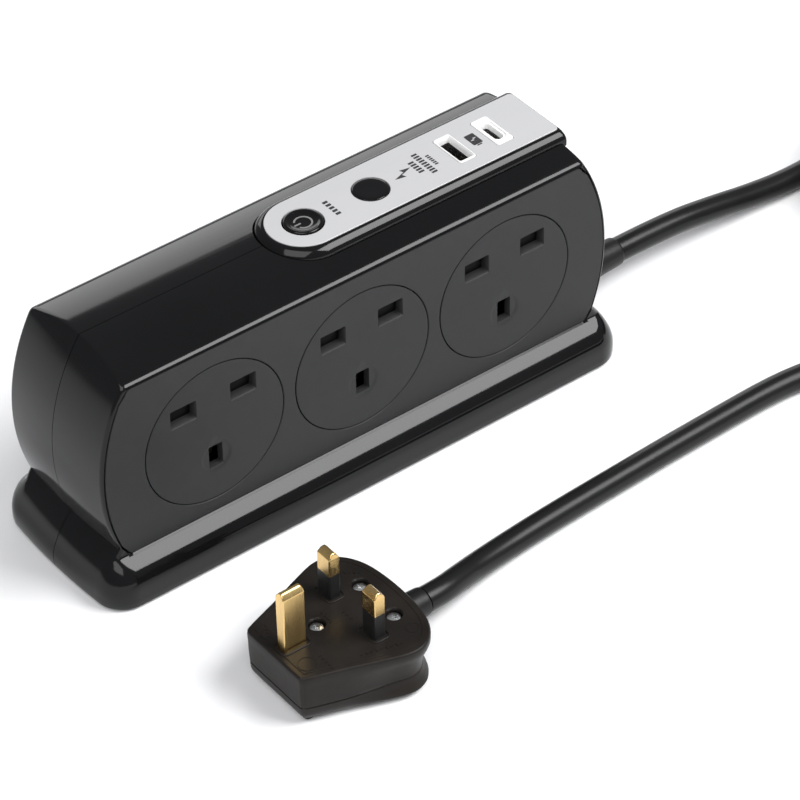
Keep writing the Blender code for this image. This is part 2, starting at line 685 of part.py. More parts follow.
# ---------------------------------------------------------------- lead
gland_profile = [
    (-0.0440, 0.0), (-0.0440, CORD_RADIUS), (-0.0350, CORD_RADIUS), (-0.0350, 0.0060), (-0.0330, 0.0060),
    (-0.0330, GLAND_NECK), (-0.0205, GLAND_NECK), (-0.0205, 0.0062), (-0.0185, 0.0063), (-0.0150, 0.0060),
    (-0.0070, 0.0055), (-0.0006, 0.0051), (0.0, 0.0048), (0.0, 0.0),
]
smooth(turned("cord_gland", gland_profile, (GLAND_END_X, 0, CORD_Z), "X", RUBBER, steps=24))
clamp = boxes("cord_clamp",
              [((END_X - 0.0190, -0.0100, FOOT_STAND + WALL + GAP),
                (END_X - 0.0115, 0.0100, CORD_Z + 0.0065))], MATT)
cut(clamp, rods("cut_clamp_bore", [((END_X - 0.0155, 0, CORD_Z), CORD_RADIUS + GAP, 0.020)], None, cutters,
                axis="X",
                sides=24))

# Route points of the lead, from the gland to the coil and from the coil to the plug.
TO_COIL = [
    (GLAND_END_X + GAP, 0.0, CORD_Z), (0.1380, 0.0, 0.0136), (0.1530, 0.0, 0.0128), (0.1680, 0.0001, 0.0106),
    (0.1830, 0.0004, 0.0078), (0.1980, 0.0010, 0.0055), (0.2110, 0.0018, 0.0045),
    (0.2240, 0.0028, CORD_RADIUS),
]
TO_PLUG = [
    (0.2290, -0.0972, 0.0309), (0.2140, -0.0982, 0.0270), (0.1960, -0.0964, 0.0193),
    (0.1780, -0.0916, 0.0109), (0.1610, -0.0860, 0.0061), (0.1440, -0.0808, 0.0046),
    (0.1250, -0.0784, CORD_RADIUS), (0.0930, -0.0789, CORD_RADIUS), (0.0600, -0.0802, CORD_RADIUS),
    (0.0320, -0.0816, CORD_RADIUS), (0.0120, -0.0832, 0.0046), (-0.0030, -0.0856, 0.0058),
    (-0.0125, -0.0881, 0.0075), (-0.0200, -0.0900, 0.0087),
    (PLUG_X + PLUG_END + 0.0090, PLUG_Y, PLUG_CORD_Z),
]


def smooth_route(route, spacing):
    """Points at an even spacing on a Catmull-Rom curve through the route's points."""
    points = [Vector(point) for point in route]
    padded = [2 * points[0] - points[1]] + points + [2 * points[-1] - points[-2]]
    dense = []
    for a, b, c, d in zip(padded, padded[1:], padded[2:], padded[3:]):
        for step in range(12):
            t = step / 12
            dense.append(0.5 * (2 * b + (c - a) * t + (2 * a - 5 * b + 4 * c - d) * t**2
                                + (3 * b - a - 3 * c + d) * t**3))
    dense.append(points[-1])
    length = sum((b - a).length for a, b in zip(dense, dense[1:]))
    count = max(2, round(length / spacing))
    made = [dense[0]]
    walked = 0.0
    for a, b in zip(dense, dense[1:]):
        walked += (b - a).length
        if walked >= length * len(made) / count and len(made) < count:
            made.append(b)
    return made + [dense[-1]]


def tube(name, route, radius, material):
    curve = bpy.data.curves.new(name, "CURVE")
    curve.dimensions = "3D"
    points = smooth_route(route, 5 * radius)
    # A short straight stub at each end keeps the cord's end square to what it meets.
    for end, index in ((0, 1), (-1, len(points))):
        way = (points[1] - points[0]) if end == 0 else (points[-2] - points[-1])
        way = Vector((math.copysign(1.0, way.x), 0, 0)) if abs(way.x) > 0.7 * way.length else way.normalized()
        points.insert(index if end == 0 else len(points) - 1, points[end] + 0.0020 * way)
    line = curve.splines.new("POLY")
    line.points.add(len(points) - 1)
    for spot, point in zip(line.points, points):
        spot.co = (*point, 1.0)
    curve.bevel_depth = radius
    curve.bevel_resolution = 2
    curve.use_fill_caps = True
    made = bpy.data.objects.new(name, curve)
    parts.objects.link(made)
    curve.materials.append(material)
    return made


tube("cord_to_coil", TO_COIL, CORD_RADIUS, SHEATH)
tube("cord_to_plug", TO_PLUG, CORD_RADIUS, SHEATH)

coil_low = TIE_THICK + GAP
inner_r = COIL_RADIUS - COIL_HALF_WIDTH
outer_r = COIL_RADIUS + COIL_HALF_WIDTH
soften = 0.0030
ring_profile = [
    (coil_low, inner_r + soften), (coil_low, outer_r - soften), (coil_low + soften, outer_r),
    (coil_low + COIL_HEIGHT - soften, outer_r), (coil_low + COIL_HEIGHT, outer_r - soften),
    (coil_low + COIL_HEIGHT, inner_r + soften), (coil_low + COIL_HEIGHT - soften, inner_r),
    (coil_low + soften, inner_r), (coil_low, inner_r + soften),
]
coil = turned("cord_coil", ring_profile, (COIL_X, COIL_Y, 0), "Z", SHEATH, steps=48)
smooth(coil)

bulge = (TIE_WIDTH / 2) ** 2 / (2 * inner_r)      # how far the turns curve inside the tie's width
tie_in = COIL_HALF_WIDTH + GAP + bulge
tie_x = COIL_X + COIL_RADIUS
tie = boxes("cord_tie", [((tie_x - tie_in - TIE_THICK, COIL_Y - TIE_WIDTH / 2, 0.0),
                          (tie_x + tie_in + TIE_THICK, COIL_Y + TIE_WIDTH / 2,
                           coil_low + COIL_HEIGHT + GAP + TIE_THICK))],
            RUBBER)
cut(tie, boxes("cut_tie", [((tie_x - tie_in, COIL_Y - TIE_WIDTH, TIE_THICK),
                            (tie_x + tie_in, COIL_Y + TIE_WIDTH, coil_low + COIL_HEIGHT + GAP))], None,
                            cutters))


# ---------------------------------------------------------------- plug
def plug_outline(inset=0.0, waist=0.0):
    """The plug's outline: narrow nose, straight flanks, round shoulders at the lead's end."""
    nose = -PLUG_NOSE + inset
    end = PLUG_END - inset
    half = PLUG_HALF - inset
    nose_half = PLUG_NOSE_HALF - inset
    shoulder = 0.0085
    upper = [(nose, 0.0), (nose, nose_half - 0.0035), (nose + 0.0010, nose_half - 0.0010),
             (nose + 0.0032, nose_half)]
    upper += [(PLUG_WIDEST - 0.0030, half - 0.0003)]
    for x, y in arc(PLUG_WIDEST, half - shoulder, shoulder, 90, 30, 4):
        upper.append((x, y - waist * max(0.0, (x - PLUG_WIDEST) / shoulder)))
    upper += [(end - 0.0020, half - 0.0085 - waist), (end - 0.0004, half - 0.0125 - waist), (end, 0.0075)]
    lower = [(x, -y) for x, y in reversed(upper[1:])]
    return [(PLUG_X + x, PLUG_Y + y) for x, y in upper + lower]


def plug_rings(rows):
    return [[Vector((x, y, z)) for x, y in plug_outline(inset, waist)] for z, inset, waist in rows]


plug_base = loft("plug_base", plug_rings([
    (PLUG_SPLIT_Z + GAP / 2, 0.0006, 0.0004), (PLUG_SPLIT_Z + 0.0025, 0.0, 0.0),
    (PLUG_FACE_Z - 0.0012, 0.0, 0.0), (PLUG_FACE_Z - 0.0004, 0.0004, 0.0), (PLUG_FACE_Z, 0.0010, 0.0),
]), PLUG)
plug_cover = loft("plug_cover", plug_rings([
    (0.0, 0.0062, 0.0030), (0.0006, 0.0042, 0.0028), (0.0022, 0.0022, 0.0024), (0.0050, 0.0010, 0.0018),
    (PLUG_SPLIT_Z - GAP / 2, 0.0004, 0.0004),
]), PLUG)

SIDE_PINS = {"line": -PIN_SPACING, "neutral": PIN_SPACING}
PIN_TIP = 0.0016
PIN_FOOT = PLUG_SPLIT_Z + 0.0030


def pin(name, x, y, size, foot, top):
    """A flat pin with its four top edges sloped."""
    w, d = size
    rows = [(foot, 0.0), (top - PIN_TIP, 0.0), (top - 0.0004, 0.0008), (top, 0.0013)]
    rings = [
        [Vector((px, py, z)) for px, py in rect((x, y), (w - 2 * slope, d - 2 * slope))] for z, slope in rows
    ]
    return loft(name, rings, BRASS)


pin("plug_earth_pin", PLUG_X, PLUG_Y, EARTH_PIN[:2], PIN_FOOT, PLUG_FACE_Z + EARTH_PIN[2])
pin_wells = [((PLUG_X - EARTH_PIN[0] / 2 - GAP, PLUG_Y - EARTH_PIN[1] / 2 - GAP, PIN_FOOT - GAP),
              (PLUG_X + EARTH_PIN[0] / 2 + GAP, PLUG_Y + EARTH_PIN[1] / 2 + GAP, PLUG_FACE_Z + 0.002))]
pin_x = PLUG_X + PIN_ROW_GAP
for word, shift in SIDE_PINS.items():
    y = PLUG_Y + shift
    w, d = SIDE_PIN[0], SIDE_PIN[1]
    blade = pin(f"plug_{word}_pin", pin_x, y, (w, d), PIN_FOOT, PLUG_FACE_Z + SIDE_PIN[2])
    # The pin is thinner inside its sleeve, so that sleeve and tip are flush.
    neck = SLEEVE_WALL + GAP
    sleeve_low = PIN_FOOT + 0.0020
    sleeve_top = PLUG_FACE_Z + SLEEVE_LENGTH
    band = boxes(f"cut_{word}_band",
                 [((pin_x - w, y - d, sleeve_low - GAP), (pin_x + w, y + d, sleeve_top + GAP))],
                 None, cutters)
    cut(band, boxes(f"cut_{word}_core", [((pin_x - w / 2 + neck, y - d / 2 + neck, sleeve_low - 0.001),
                                          (pin_x + w / 2 - neck, y + d / 2 - neck, sleeve_top + 0.001))],
                                          None, cutters))
    cut(blade, band)
    sleeve = boxes(f"plug_{word}_sleeve", [((pin_x - w / 2, y - d / 2, sleeve_low),
                                            (pin_x + w / 2, y + d / 2, sleeve_top))], SHUTTER)
    cut(sleeve, boxes(f"cut_{word}_sleeve",
                      [((pin_x - w / 2 + SLEEVE_WALL, y - d / 2 + SLEEVE_WALL, sleeve_low - 0.001),
                                              (pin_x + w / 2 - SLEEVE_WALL, y + d / 2 - SLEEVE_WALL,
                                               sleeve_top + 0.001))], None, cutters))
    pin_wells.append(((pin_x - w / 2 - GAP, y - d / 2 - GAP, PIN_FOOT - GAP),
                      (pin_x + w / 2 + GAP, y + d / 2 + GAP, PLUG_FACE_Z + 0.002)))
cut(plug_base, boxes("cut_pin_wells", pin_wells, None, cutters))

PLUG_SCREWS = [(0.0317, 0.0083), (0.0317, -0.0083), (0.0110, 0.0025)]
PLUG_SCREW_RADIUS = 0.0023
screw_floor = PLUG_FACE_Z - 0.0060
wells = []
for number, (dx, dy) in enumerate(PLUG_SCREWS, 1):
    spot = (PLUG_X + dx, PLUG_Y + dy)
    wells.append(((*spot, PLUG_FACE_Z), PLUG_SCREW_RADIUS + 0.0004, 2 * (PLUG_FACE_Z - screw_floor)))
    head = rods(f"plug_screw_{number}", [((*spot, screw_floor + GAP + 0.0022), PLUG_SCREW_RADIUS, 0.0044)],
                STEEL,
                sides=24)
    cut(head, boxes(f"cut_plug_screw_{number}", [((spot[0] - 0.0018, spot[1] - 0.0003, screw_floor + 0.0037),
                                                  (spot[0] + 0.0018, spot[1] + 0.0003,
                                                   screw_floor + 0.0060))], None,
                    cutters))
cut(plug_base, rods("cut_plug_screw_wells", wells, None, cutters, sides=24))

# The fuse lies in its own bed in the cover, behind the line pin.
fuse_y = PLUG_Y - PIN_SPACING
fuse = rods("plug_fuse", [((PLUG_X + 0.0130, fuse_y, 0.0066), 0.0031, 0.0254)], WHITE, axis="X", sides=24)
cut(plug_cover, boxes("cut_fuse_bed", [((PLUG_X - 0.0002, fuse_y - 0.0035, 0.0031),
                                        (PLUG_X + 0.0262, fuse_y + 0.0035, 0.0120))], None, cutters))

# The lead's grip is clamped between the two mouldings.
grip_x = PLUG_X + PLUG_END
grip_hole = rods("cut_grip_hole", [((grip_x, PLUG_Y, PLUG_CORD_Z), 0.0055 + GAP, 0.020)], None, cutters,
                 axis="X",
                 sides=24)
cut(plug_base, grip_hole)
cut(plug_cover, grip_hole)
grip_profile = [
    (-0.0095, 0.0), (-0.0095, 0.0055), (0.0010, 0.0054), (0.0030, 0.0052), (0.0080, 0.0049), (0.0087, 0.0047),
    (0.0087, 0.0),
]
smooth(turned("plug_cord_grip", grip_profile, (grip_x, PLUG_Y, PLUG_CORD_Z), "X", RUBBER, steps=24))
for made in (plug_base, plug_cover):
    smooth(made, 30)
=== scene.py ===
import math

import bmesh
import bpy
from mathutils import Matrix, Vector


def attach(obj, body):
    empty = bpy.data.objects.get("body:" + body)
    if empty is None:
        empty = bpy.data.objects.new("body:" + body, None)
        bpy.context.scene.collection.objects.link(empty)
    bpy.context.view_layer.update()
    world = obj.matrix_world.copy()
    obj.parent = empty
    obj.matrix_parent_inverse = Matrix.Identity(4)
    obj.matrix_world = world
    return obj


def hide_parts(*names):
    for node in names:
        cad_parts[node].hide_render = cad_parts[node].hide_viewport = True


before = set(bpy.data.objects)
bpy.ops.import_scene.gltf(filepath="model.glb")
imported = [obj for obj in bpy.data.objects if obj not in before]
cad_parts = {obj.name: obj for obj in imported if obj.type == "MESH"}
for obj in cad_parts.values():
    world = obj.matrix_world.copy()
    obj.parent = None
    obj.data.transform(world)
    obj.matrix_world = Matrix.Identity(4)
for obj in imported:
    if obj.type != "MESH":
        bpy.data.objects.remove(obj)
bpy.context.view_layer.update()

# ---------------------------------------------------------------- the stage
# A pale seamless floor under soft light: a wide panel overhead for the flat faces, one in front
# and to the right whose image runs as a light line along the rounded edges, and a low one behind
# that lights the rear of the crown.
floor_mesh = bpy.data.meshes.new("studio_floor")
floor_mesh.from_pydata([(-6, -6, 0), (6, -6, 0), (6, 6, 0), (-6, 6, 0)], [], [(0, 1, 2, 3)])
floor = bpy.data.objects.new("studio_floor", floor_mesh)
bpy.context.scene.collection.objects.link(floor)

paper = bpy.data.materials.new("pale_paper")
paper.use_nodes = True
sheet = paper.node_tree.nodes["Principled BSDF"]
sheet.inputs["Base Color"].default_value = (0.88, 0.88, 0.885, 1)
sheet.inputs["Roughness"].default_value = 0.9
fibre = paper.node_tree.nodes.new("ShaderNodeTexNoise")
fibre.inputs["Scale"].default_value = 900
lift = paper.node_tree.nodes.new("ShaderNodeBump")
lift.inputs["Strength"].default_value = 0.05
lift.inputs["Distance"].default_value = 0.0002
paper.node_tree.links.new(fibre.outputs["Fac"], lift.inputs["Height"])
paper.node_tree.links.new(lift.outputs["Normal"], sheet.inputs["Normal"])
floor_mesh.materials.append(paper)


def soft_panel(name, towards, distance, size, watts, aim=(0.0, 0.0, 0.04)):
    """An area light, standing off from the casing in a direction and turned to face it."""
    lamp = bpy.data.lights.new(name, "AREA")
    lamp.shape = "RECTANGLE"
    lamp.size, lamp.size_y = size
    lamp.energy = watts
    stand = bpy.data.objects.new(name, lamp)
    way = Vector(towards).normalized()
    stand.location = Vector(aim) + distance * way
    stand.rotation_euler = way.to_track_quat("Z", "Y").to_euler()
    bpy.context.scene.collection.objects.link(stand)
    return stand


soft_panel("overhead_panel", (-0.55, -0.35, 0.76), 1.9, (1.5, 1.5), 24)
soft_panel("edge_panel", (0.43, -0.47, 0.75), 1.7, (1.0, 0.92), 34)
soft_panel("rear_panel", (0.38, 0.87, 0.30), 2.2, (2.0, 0.85), 12)

air = bpy.data.worlds.new("studio_air")
air.use_nodes = True
air.node_tree.nodes["Background"].inputs["Color"].default_value = (0.93, 0.95, 1.0, 1)
air.node_tree.nodes["Background"].inputs["Strength"].default_value = 0.27
bpy.context.scene.world = air
bpy.context.scene.view_settings.view_transform = "Standard"

lens = bpy.data.cameras.new("camera")
lens.lens = 180
lens.sensor_width = 36
lens.shift_x = 0.101
lens.shift_y = 0.128
lens.clip_start = 0.05
camera = bpy.data.objects.new("camera", lens)
right = Vector((0.8003, -0.5989, -0.0283))
up = Vector((0.4162, 0.5209, 0.7453))
back = right.cross(up)
turn = Matrix((right, up, back)).transposed().to_4x4()
camera.matrix_world = Matrix.Translation((-0.5656, -0.7957, 0.8423)) @ turn
bpy.context.scene.collection.objects.link(camera)
bpy.context.scene.camera = camera


# ---------------------------------------------------------------- the lead
# One length of round flex in a smooth black PVC sheath. It comes out of the gland, drops to the
# surface, is wound in five and a half turns and tied, and runs on to the plug.
def finish(name, colour, roughness, metallic=0.0, cloud=(40, 0.12), grain=(2500, 0.00002),
           stretch=(1, 1, 1), specular=0.5, sheen=0.0):
    """A moulded or metal surface; cloud and grain are (scale, strength) of its drift and its bumps."""
    made = bpy.data.materials.new(name)
    made.use_nodes = True
    tree = made.node_tree
    shader = tree.nodes["Principled BSDF"]
    shader.inputs["Metallic"].default_value = metallic
    shader.inputs["Specular IOR Level"].default_value = specular
    shader.inputs["Sheen Weight"].default_value = sheen
    place = tree.nodes.new("ShaderNodeTexCoord")
    scaled = tree.nodes.new("ShaderNodeMapping")
    scaled.inputs["Scale"].default_value = stretch
    tree.links.new(place.outputs["Object"], scaled.inputs["Vector"])

    drift = tree.nodes.new("ShaderNodeTexNoise")
    drift.inputs["Scale"].default_value = cloud[0]
    drift.inputs["Detail"].default_value = 4
    tree.links.new(scaled.outputs["Vector"], drift.inputs["Vector"])
    shade = tree.nodes.new("ShaderNodeValToRGB")
    low, high = 1 - cloud[1], 1 + cloud[1]
    shade.color_ramp.elements[0].position = 0.3
    shade.color_ramp.elements[0].color = (*(min(1.0, low * c) for c in colour), 1)
    shade.color_ramp.elements[1].position = 0.7
    shade.color_ramp.elements[1].color = (*(min(1.0, high * c) for c in colour), 1)
    tree.links.new(drift.outputs["Fac"], shade.inputs["Fac"])
    tree.links.new(shade.outputs["Color"], shader.inputs["Base Color"])

    rough = tree.nodes.new("ShaderNodeMapRange")
    rough.inputs["To Min"].default_value = roughness * (1 - 1.5 * cloud[1])
    rough.inputs["To Max"].default_value = min(1.0, roughness * (1 + 1.5 * cloud[1]))
    tree.links.new(drift.outputs["Fac"], rough.inputs["Value"])
    tree.links.new(rough.outputs["Result"], shader.inputs["Roughness"])

    pits = tree.nodes.new("ShaderNodeTexNoise")
    pits.inputs["Scale"].default_value = grain[0]
    pits.inputs["Detail"].default_value = 2
    tree.links.new(scaled.outputs["Vector"], pits.inputs["Vector"])
    bump = tree.nodes.new("ShaderNodeBump")
    bump.inputs["Strength"].default_value = 1.0
    bump.inputs["Distance"].default_value = grain[1]
    tree.links.new(pits.outputs["Fac"], bump.inputs["Height"])
    tree.links.new(bump.outputs["Normal"], shader.inputs["Normal"])
    return made


def smooth_route(route, step):
    """Evenly spaced points on a Catmull-Rom curve through the route's points."""
    points = [Vector(point) for point in route]
    padded = [2 * points[0] - points[1]] + points + [2 * points[-1] - points[-2]]
    dense = []
    for a, b, c, d in zip(padded, padded[1:], padded[2:], padded[3:]):
        for part in range(10):
            t = part / 10
            dense.append(0.5 * (2 * b + (c - a) * t + (2 * a - 5 * b + 4 * c - d) * t**2
                                + (3 * b - a - 3 * c + d) * t**3))
    dense.append(points[-1])
    length = sum((b - a).length for a, b in zip(dense, dense[1:]))
    count = round(length / step)
    made = [dense[0]]
    walked = 0.0
    for a, b in zip(dense, dense[1:]):
        walked += (b - a).length
        if walked >= length * len(made) / count and len(made) < count:
            made.append(b)
    return made + [dense[-1]], length


def blend_step(value, low, high):
    """0 below low, 1 above high, and a smooth rise between."""
    t = min(1.0, max(0.0, (value - low) / (high - low)))
    return t * t * (3 - 2 * t)


CORD_RADIUS = 0.0043
PLUG_X, PLUG_Y = -0.0770, -0.0905       # where the plug's earth pin stands
PLUG_END = 0.0406
PLUG_CORD_Z = 0.0090
GLAND_END_X = 0.1240
CORD_Z = 0.0137
coil_centre = Vector((0.2560, -0.0450, 0.0))
turn_out, turn_in = 0.0498, 0.0410
layers = [0.00560, 0.01440, 0.02320, 0.03200]      # heights of the turns, and of the way off them
WINDINGS, TURN_STEPS, LEAVING_RADIUS = 5.52, 24, 0.0592

to_coil = [
    (GLAND_END_X + 0.0003, 0.0, CORD_Z), (0.1380, 0.0, 0.0136), (0.1530, 0.0, 0.0128),
    (0.1680, 0.0001, 0.0106), (0.1830, 0.0004, 0.0078), (0.1980, 0.0010, 0.0055),
    (0.2110, 0.0018, 0.0045), (0.2240, 0.0028, 0.0044),
]
to_plug = [
    (0.2290, -0.0972, 0.0309), (0.2140, -0.0982, 0.0270), (0.1960, -0.0964, 0.0193),
    (0.1780, -0.0916, 0.0109), (0.1610, -0.0860, 0.0061), (0.1440, -0.0808, 0.0046),
    (0.1250, -0.0784, 0.0044), (0.0930, -0.0789, CORD_RADIUS), (0.0600, -0.0802, CORD_RADIUS),
    (0.0320, -0.0816, 0.0044), (0.0120, -0.0832, 0.0046), (-0.0030, -0.0856, 0.0058),
    (-0.0125, -0.0881, 0.0075), (-0.0200, -0.0900, 0.0087),
    (PLUG_X + PLUG_END + 0.0090, PLUG_Y, PLUG_CORD_Z),
]
# Each layer has an outer and an inner turn; the lead steps in, up and out between them.
turns = []
for index in range(int(WINDINGS * TURN_STEPS) + 1):
    wound = index / TURN_STEPS
    inward = blend_step(wound, 0.70, 0.90) - blend_step(wound, 2.70, 2.90) + blend_step(wound, 4.70, 4.90)
    radius = turn_out + (turn_in - turn_out) * inward
    radius += (LEAVING_RADIUS - turn_in) * blend_step(wound, 5.33, 5.64)
    height = layers[0]
    for layer, (start, end) in enumerate(((1.70, 1.90), (3.70, 3.90), (5.28, 5.45))):
        height += (layers[layer + 1] - layers[layer]) * blend_step(wound, start, end)
    angle = math.radians(90 - 360 * wound)
    turns.append(coil_centre + Vector((radius * math.cos(angle), radius * math.sin(angle), height)))
cord_points, cord_length = smooth_route(to_coil + turns + to_plug, 0.0030)

flex = bpy.data.curves.new("mains_lead", "CURVE")
flex.dimensions = "3D"
line = flex.splines.new("POLY")
line.points.add(len(cord_points) - 1)
for spot, point in zip(line.points, cord_points):
    spot.co = (*point, 1)
flex.bevel_depth = CORD_RADIUS
flex.bevel_resolution = 6
flex.use_fill_caps = True
line.use_smooth = True
sheath = finish("pvc_sheath", (0.008, 0.008, 0.008), 0.30, cloud=(60, 0.10), grain=(700, 0.00002),
                specular=0.22)
flex.materials.append(sheath)
lead = bpy.data.objects.new("mains_lead", flex)
bpy.context.scene.collection.objects.link(lead)
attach(lead, "casing")
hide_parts("cord_to_coil", "cord_to_plug", "cord_coil")


# ---------------------------------------------------------------- the casing
# Two polished black ABS mouldings, front and rear, that meet on the middle plane. Each has bowed
# ends, half of the domed crown, a window for its socket plate, and half of the broad plinth.
def put(name, builder, material=None):
    """The builder's mesh as a piece in the scene."""
    mesh = bpy.data.meshes.new(name)
    bmesh.ops.recalc_face_normals(builder, faces=builder.faces)
    builder.to_mesh(mesh)
    builder.free()
    made = bpy.data.objects.new(name, mesh)
    bpy.context.scene.collection.objects.link(made)
    if material:
        mesh.materials.append(material)
    return made


def stack(name, rings, material=None):
    """A closed skin over rings with the same number of points."""
    builder = bmesh.new()
    rows = [[builder.verts.new(point) for point in ring] for ring in rings]
    count = len(rows[0])
    for lower, upper in zip(rows, rows[1:]):
        for i in range(count):
            j = (i + 1) % count
            builder.faces.new((lower[i], lower[j], upper[j], upper[i]))
    builder.faces.new(rows[0])
    builder.faces.new(rows[-1])
    return put(name, builder, material)


def spun(name, profile, origin, axis, material=None, steps=64):
    """A turned shape. The profile is (distance along the axis, radius), starting and ending on the axis."""
    turned = {"X": Matrix.Rotation(math.pi / 2, 4, "Y"), "Y": Matrix.Rotation(-math.pi / 2, 4, "X"),
              "Z": Matrix.Identity(4)}[axis]
    frame_of = Matrix.Translation(origin) @ turned
    builder = bmesh.new()
    rows = []
    for along, radius in profile:
        if radius < 1e-7:
            rows.append([builder.verts.new(frame_of @ Vector((0, 0, along)))])
            continue
        rows.append([
            builder.verts.new(frame_of @ Vector((radius * math.cos(a), radius * math.sin(a), along)))
            for a in (math.tau * i / steps for i in range(steps))
        ])
    for first, second in zip(rows, rows[1:]):
        for i in range(steps):
            j = (i + 1) % steps
            corners = [first[i % len(first)], first[j % len(first)], second[j % len(second)],
                       second[i % len(second)]]
            unique = list(dict.fromkeys(corners))
            if len(unique) > 2:
                builder.faces.new(unique)
    return put(name, builder, material)


def cut_by(target, *cutters):
    """Takes the cutters out of a piece, then removes them."""
    for cutter in cutters:
        change = target.modifiers.new("cut", "BOOLEAN")
        change.operation = "DIFFERENCE"
        change.object = cutter
        change.solver = "EXACT"
    settle(target)
    for cutter in cutters:
        bpy.data.objects.remove(cutter, do_unlink=True)


def settle(target):
    """Turns a piece's modifiers into its mesh."""
    bpy.context.view_layer.update()
    graph = bpy.context.evaluated_depsgraph_get()
    made = bpy.data.meshes.new_from_object(target.evaluated_get(graph))
    target.modifiers.clear()
    target.data = made


def soften(target, degrees=32):
    """Smooth shading that stops at real edges."""
    target.data.shade_smooth()
    target.data.set_sharp_from_angle(angle=math.radians(degrees))
    weigh = target.modifiers.new("even_normals", "WEIGHTED_NORMAL")
    weigh.keep_sharp = True


def arc(x, y, radius, start, end, steps):
    """Points on a round stretch, from one angle in degrees to another."""
    made = []
    for step in range(steps + 1):
        angle = math.radians(start + (end - start) * step / steps)
        made.append((x + radius * math.cos(angle), y + radius * math.sin(angle)))
    return made


def slab(name, outline, levels, axis="Z", material=None):
    """An outline carried through levels of (place on the axis, growth); outline(growth) gives its points."""
    rings = []
    for at, grow in levels:
        points = outline(grow)
        if axis == "Z":
            rings.append([Vector((x, y, at)) for x, y in points])
        else:
            rings.append([Vector((x, at, z)) for x, z in points])
    return stack(name, rings, material)


FACE_Y = 0.025              # middle plane to the socket faces
END_X, END_RADIUS, END_MID_Z, END_CROWN = 0.0995, 0.070, 0.0455, 0.0012
END_CORNER, SHOULDER_Z, SHOULDER_ROUND = 0.0016, 0.0802, 0.0019
CROWN_TOP, CROWN_RISE = 0.0861, 0.0044
PLINTH_X, PLINTH_Y, PLINTH_MEETS, PLINTH_CORNER = 0.1028, 0.0318, 0.0205, 0.0100
PLINTH_SIDE, PLINTH_ROLL, PLINTH_SLOPE = 0.0055, 0.0095, 35
LEDGE_Y, LEDGE_Z, LEDGE_CORNER = 0.0253, 0.0167, 0.0030
WALL, GAP, CEILING = 0.0026, 0.0003, 0.0807
PLATE_TOP, PLATE_BOTTOM, PLATE_EDGE, PLATE_THICK = 0.0803, 0.0168, 0.0970, 0.0025
PAD_RADIUS, PAD_FLOOR, PAD_TOP, PAD_END_X = 0.0155, 0.0827, 0.0876, 0.0898
GLAND_HOLE = 0.0055
BUTTON_X, LENS_X = -0.0030, 0.0231


def end_x(z):
    """Where the casing's bowed end is at a height."""
    return END_X - END_RADIUS + math.sqrt(END_RADIUS**2 - (z - END_MID_Z) ** 2)


def plinth_end_x(z):
    """Where the plinth's end is at a height: it sweeps in to meet the casing's end."""
    rise = max(0.0, z - PLINTH_SIDE) / (PLINTH_MEETS - PLINTH_SIDE)
    return PLINTH_X - (PLINTH_X - end_x(PLINTH_MEETS)) * rise**1.6


def crown_z(y):
    """How high the crown is at a depth."""
    return CROWN_TOP - CROWN_RISE * (y / FACE_Y) ** 2


def half_ring(z, half_x, half_y, corner, side, start=0.00012):
    """A level of half the casing, from the joint round one end, along the face and round the other."""
    corner = min(corner, 0.7 * half_y)
    straight = half_y - corner
    quarter = []
    for step in range(9):
        y = start + (straight - start) * step / 8
        quarter.append((half_x - END_CROWN * (y / FACE_Y) ** 2, y))
    centre = quarter[-1][0] - corner
    quarter += arc(centre, straight, corner, 0, 90, 8)[1:]
    outline = [(-x, y) for x, y in quarter] + [(x, y) for x, y in reversed(quarter)]
    return [Vector((x, side * y, z)) for x, y in outline]


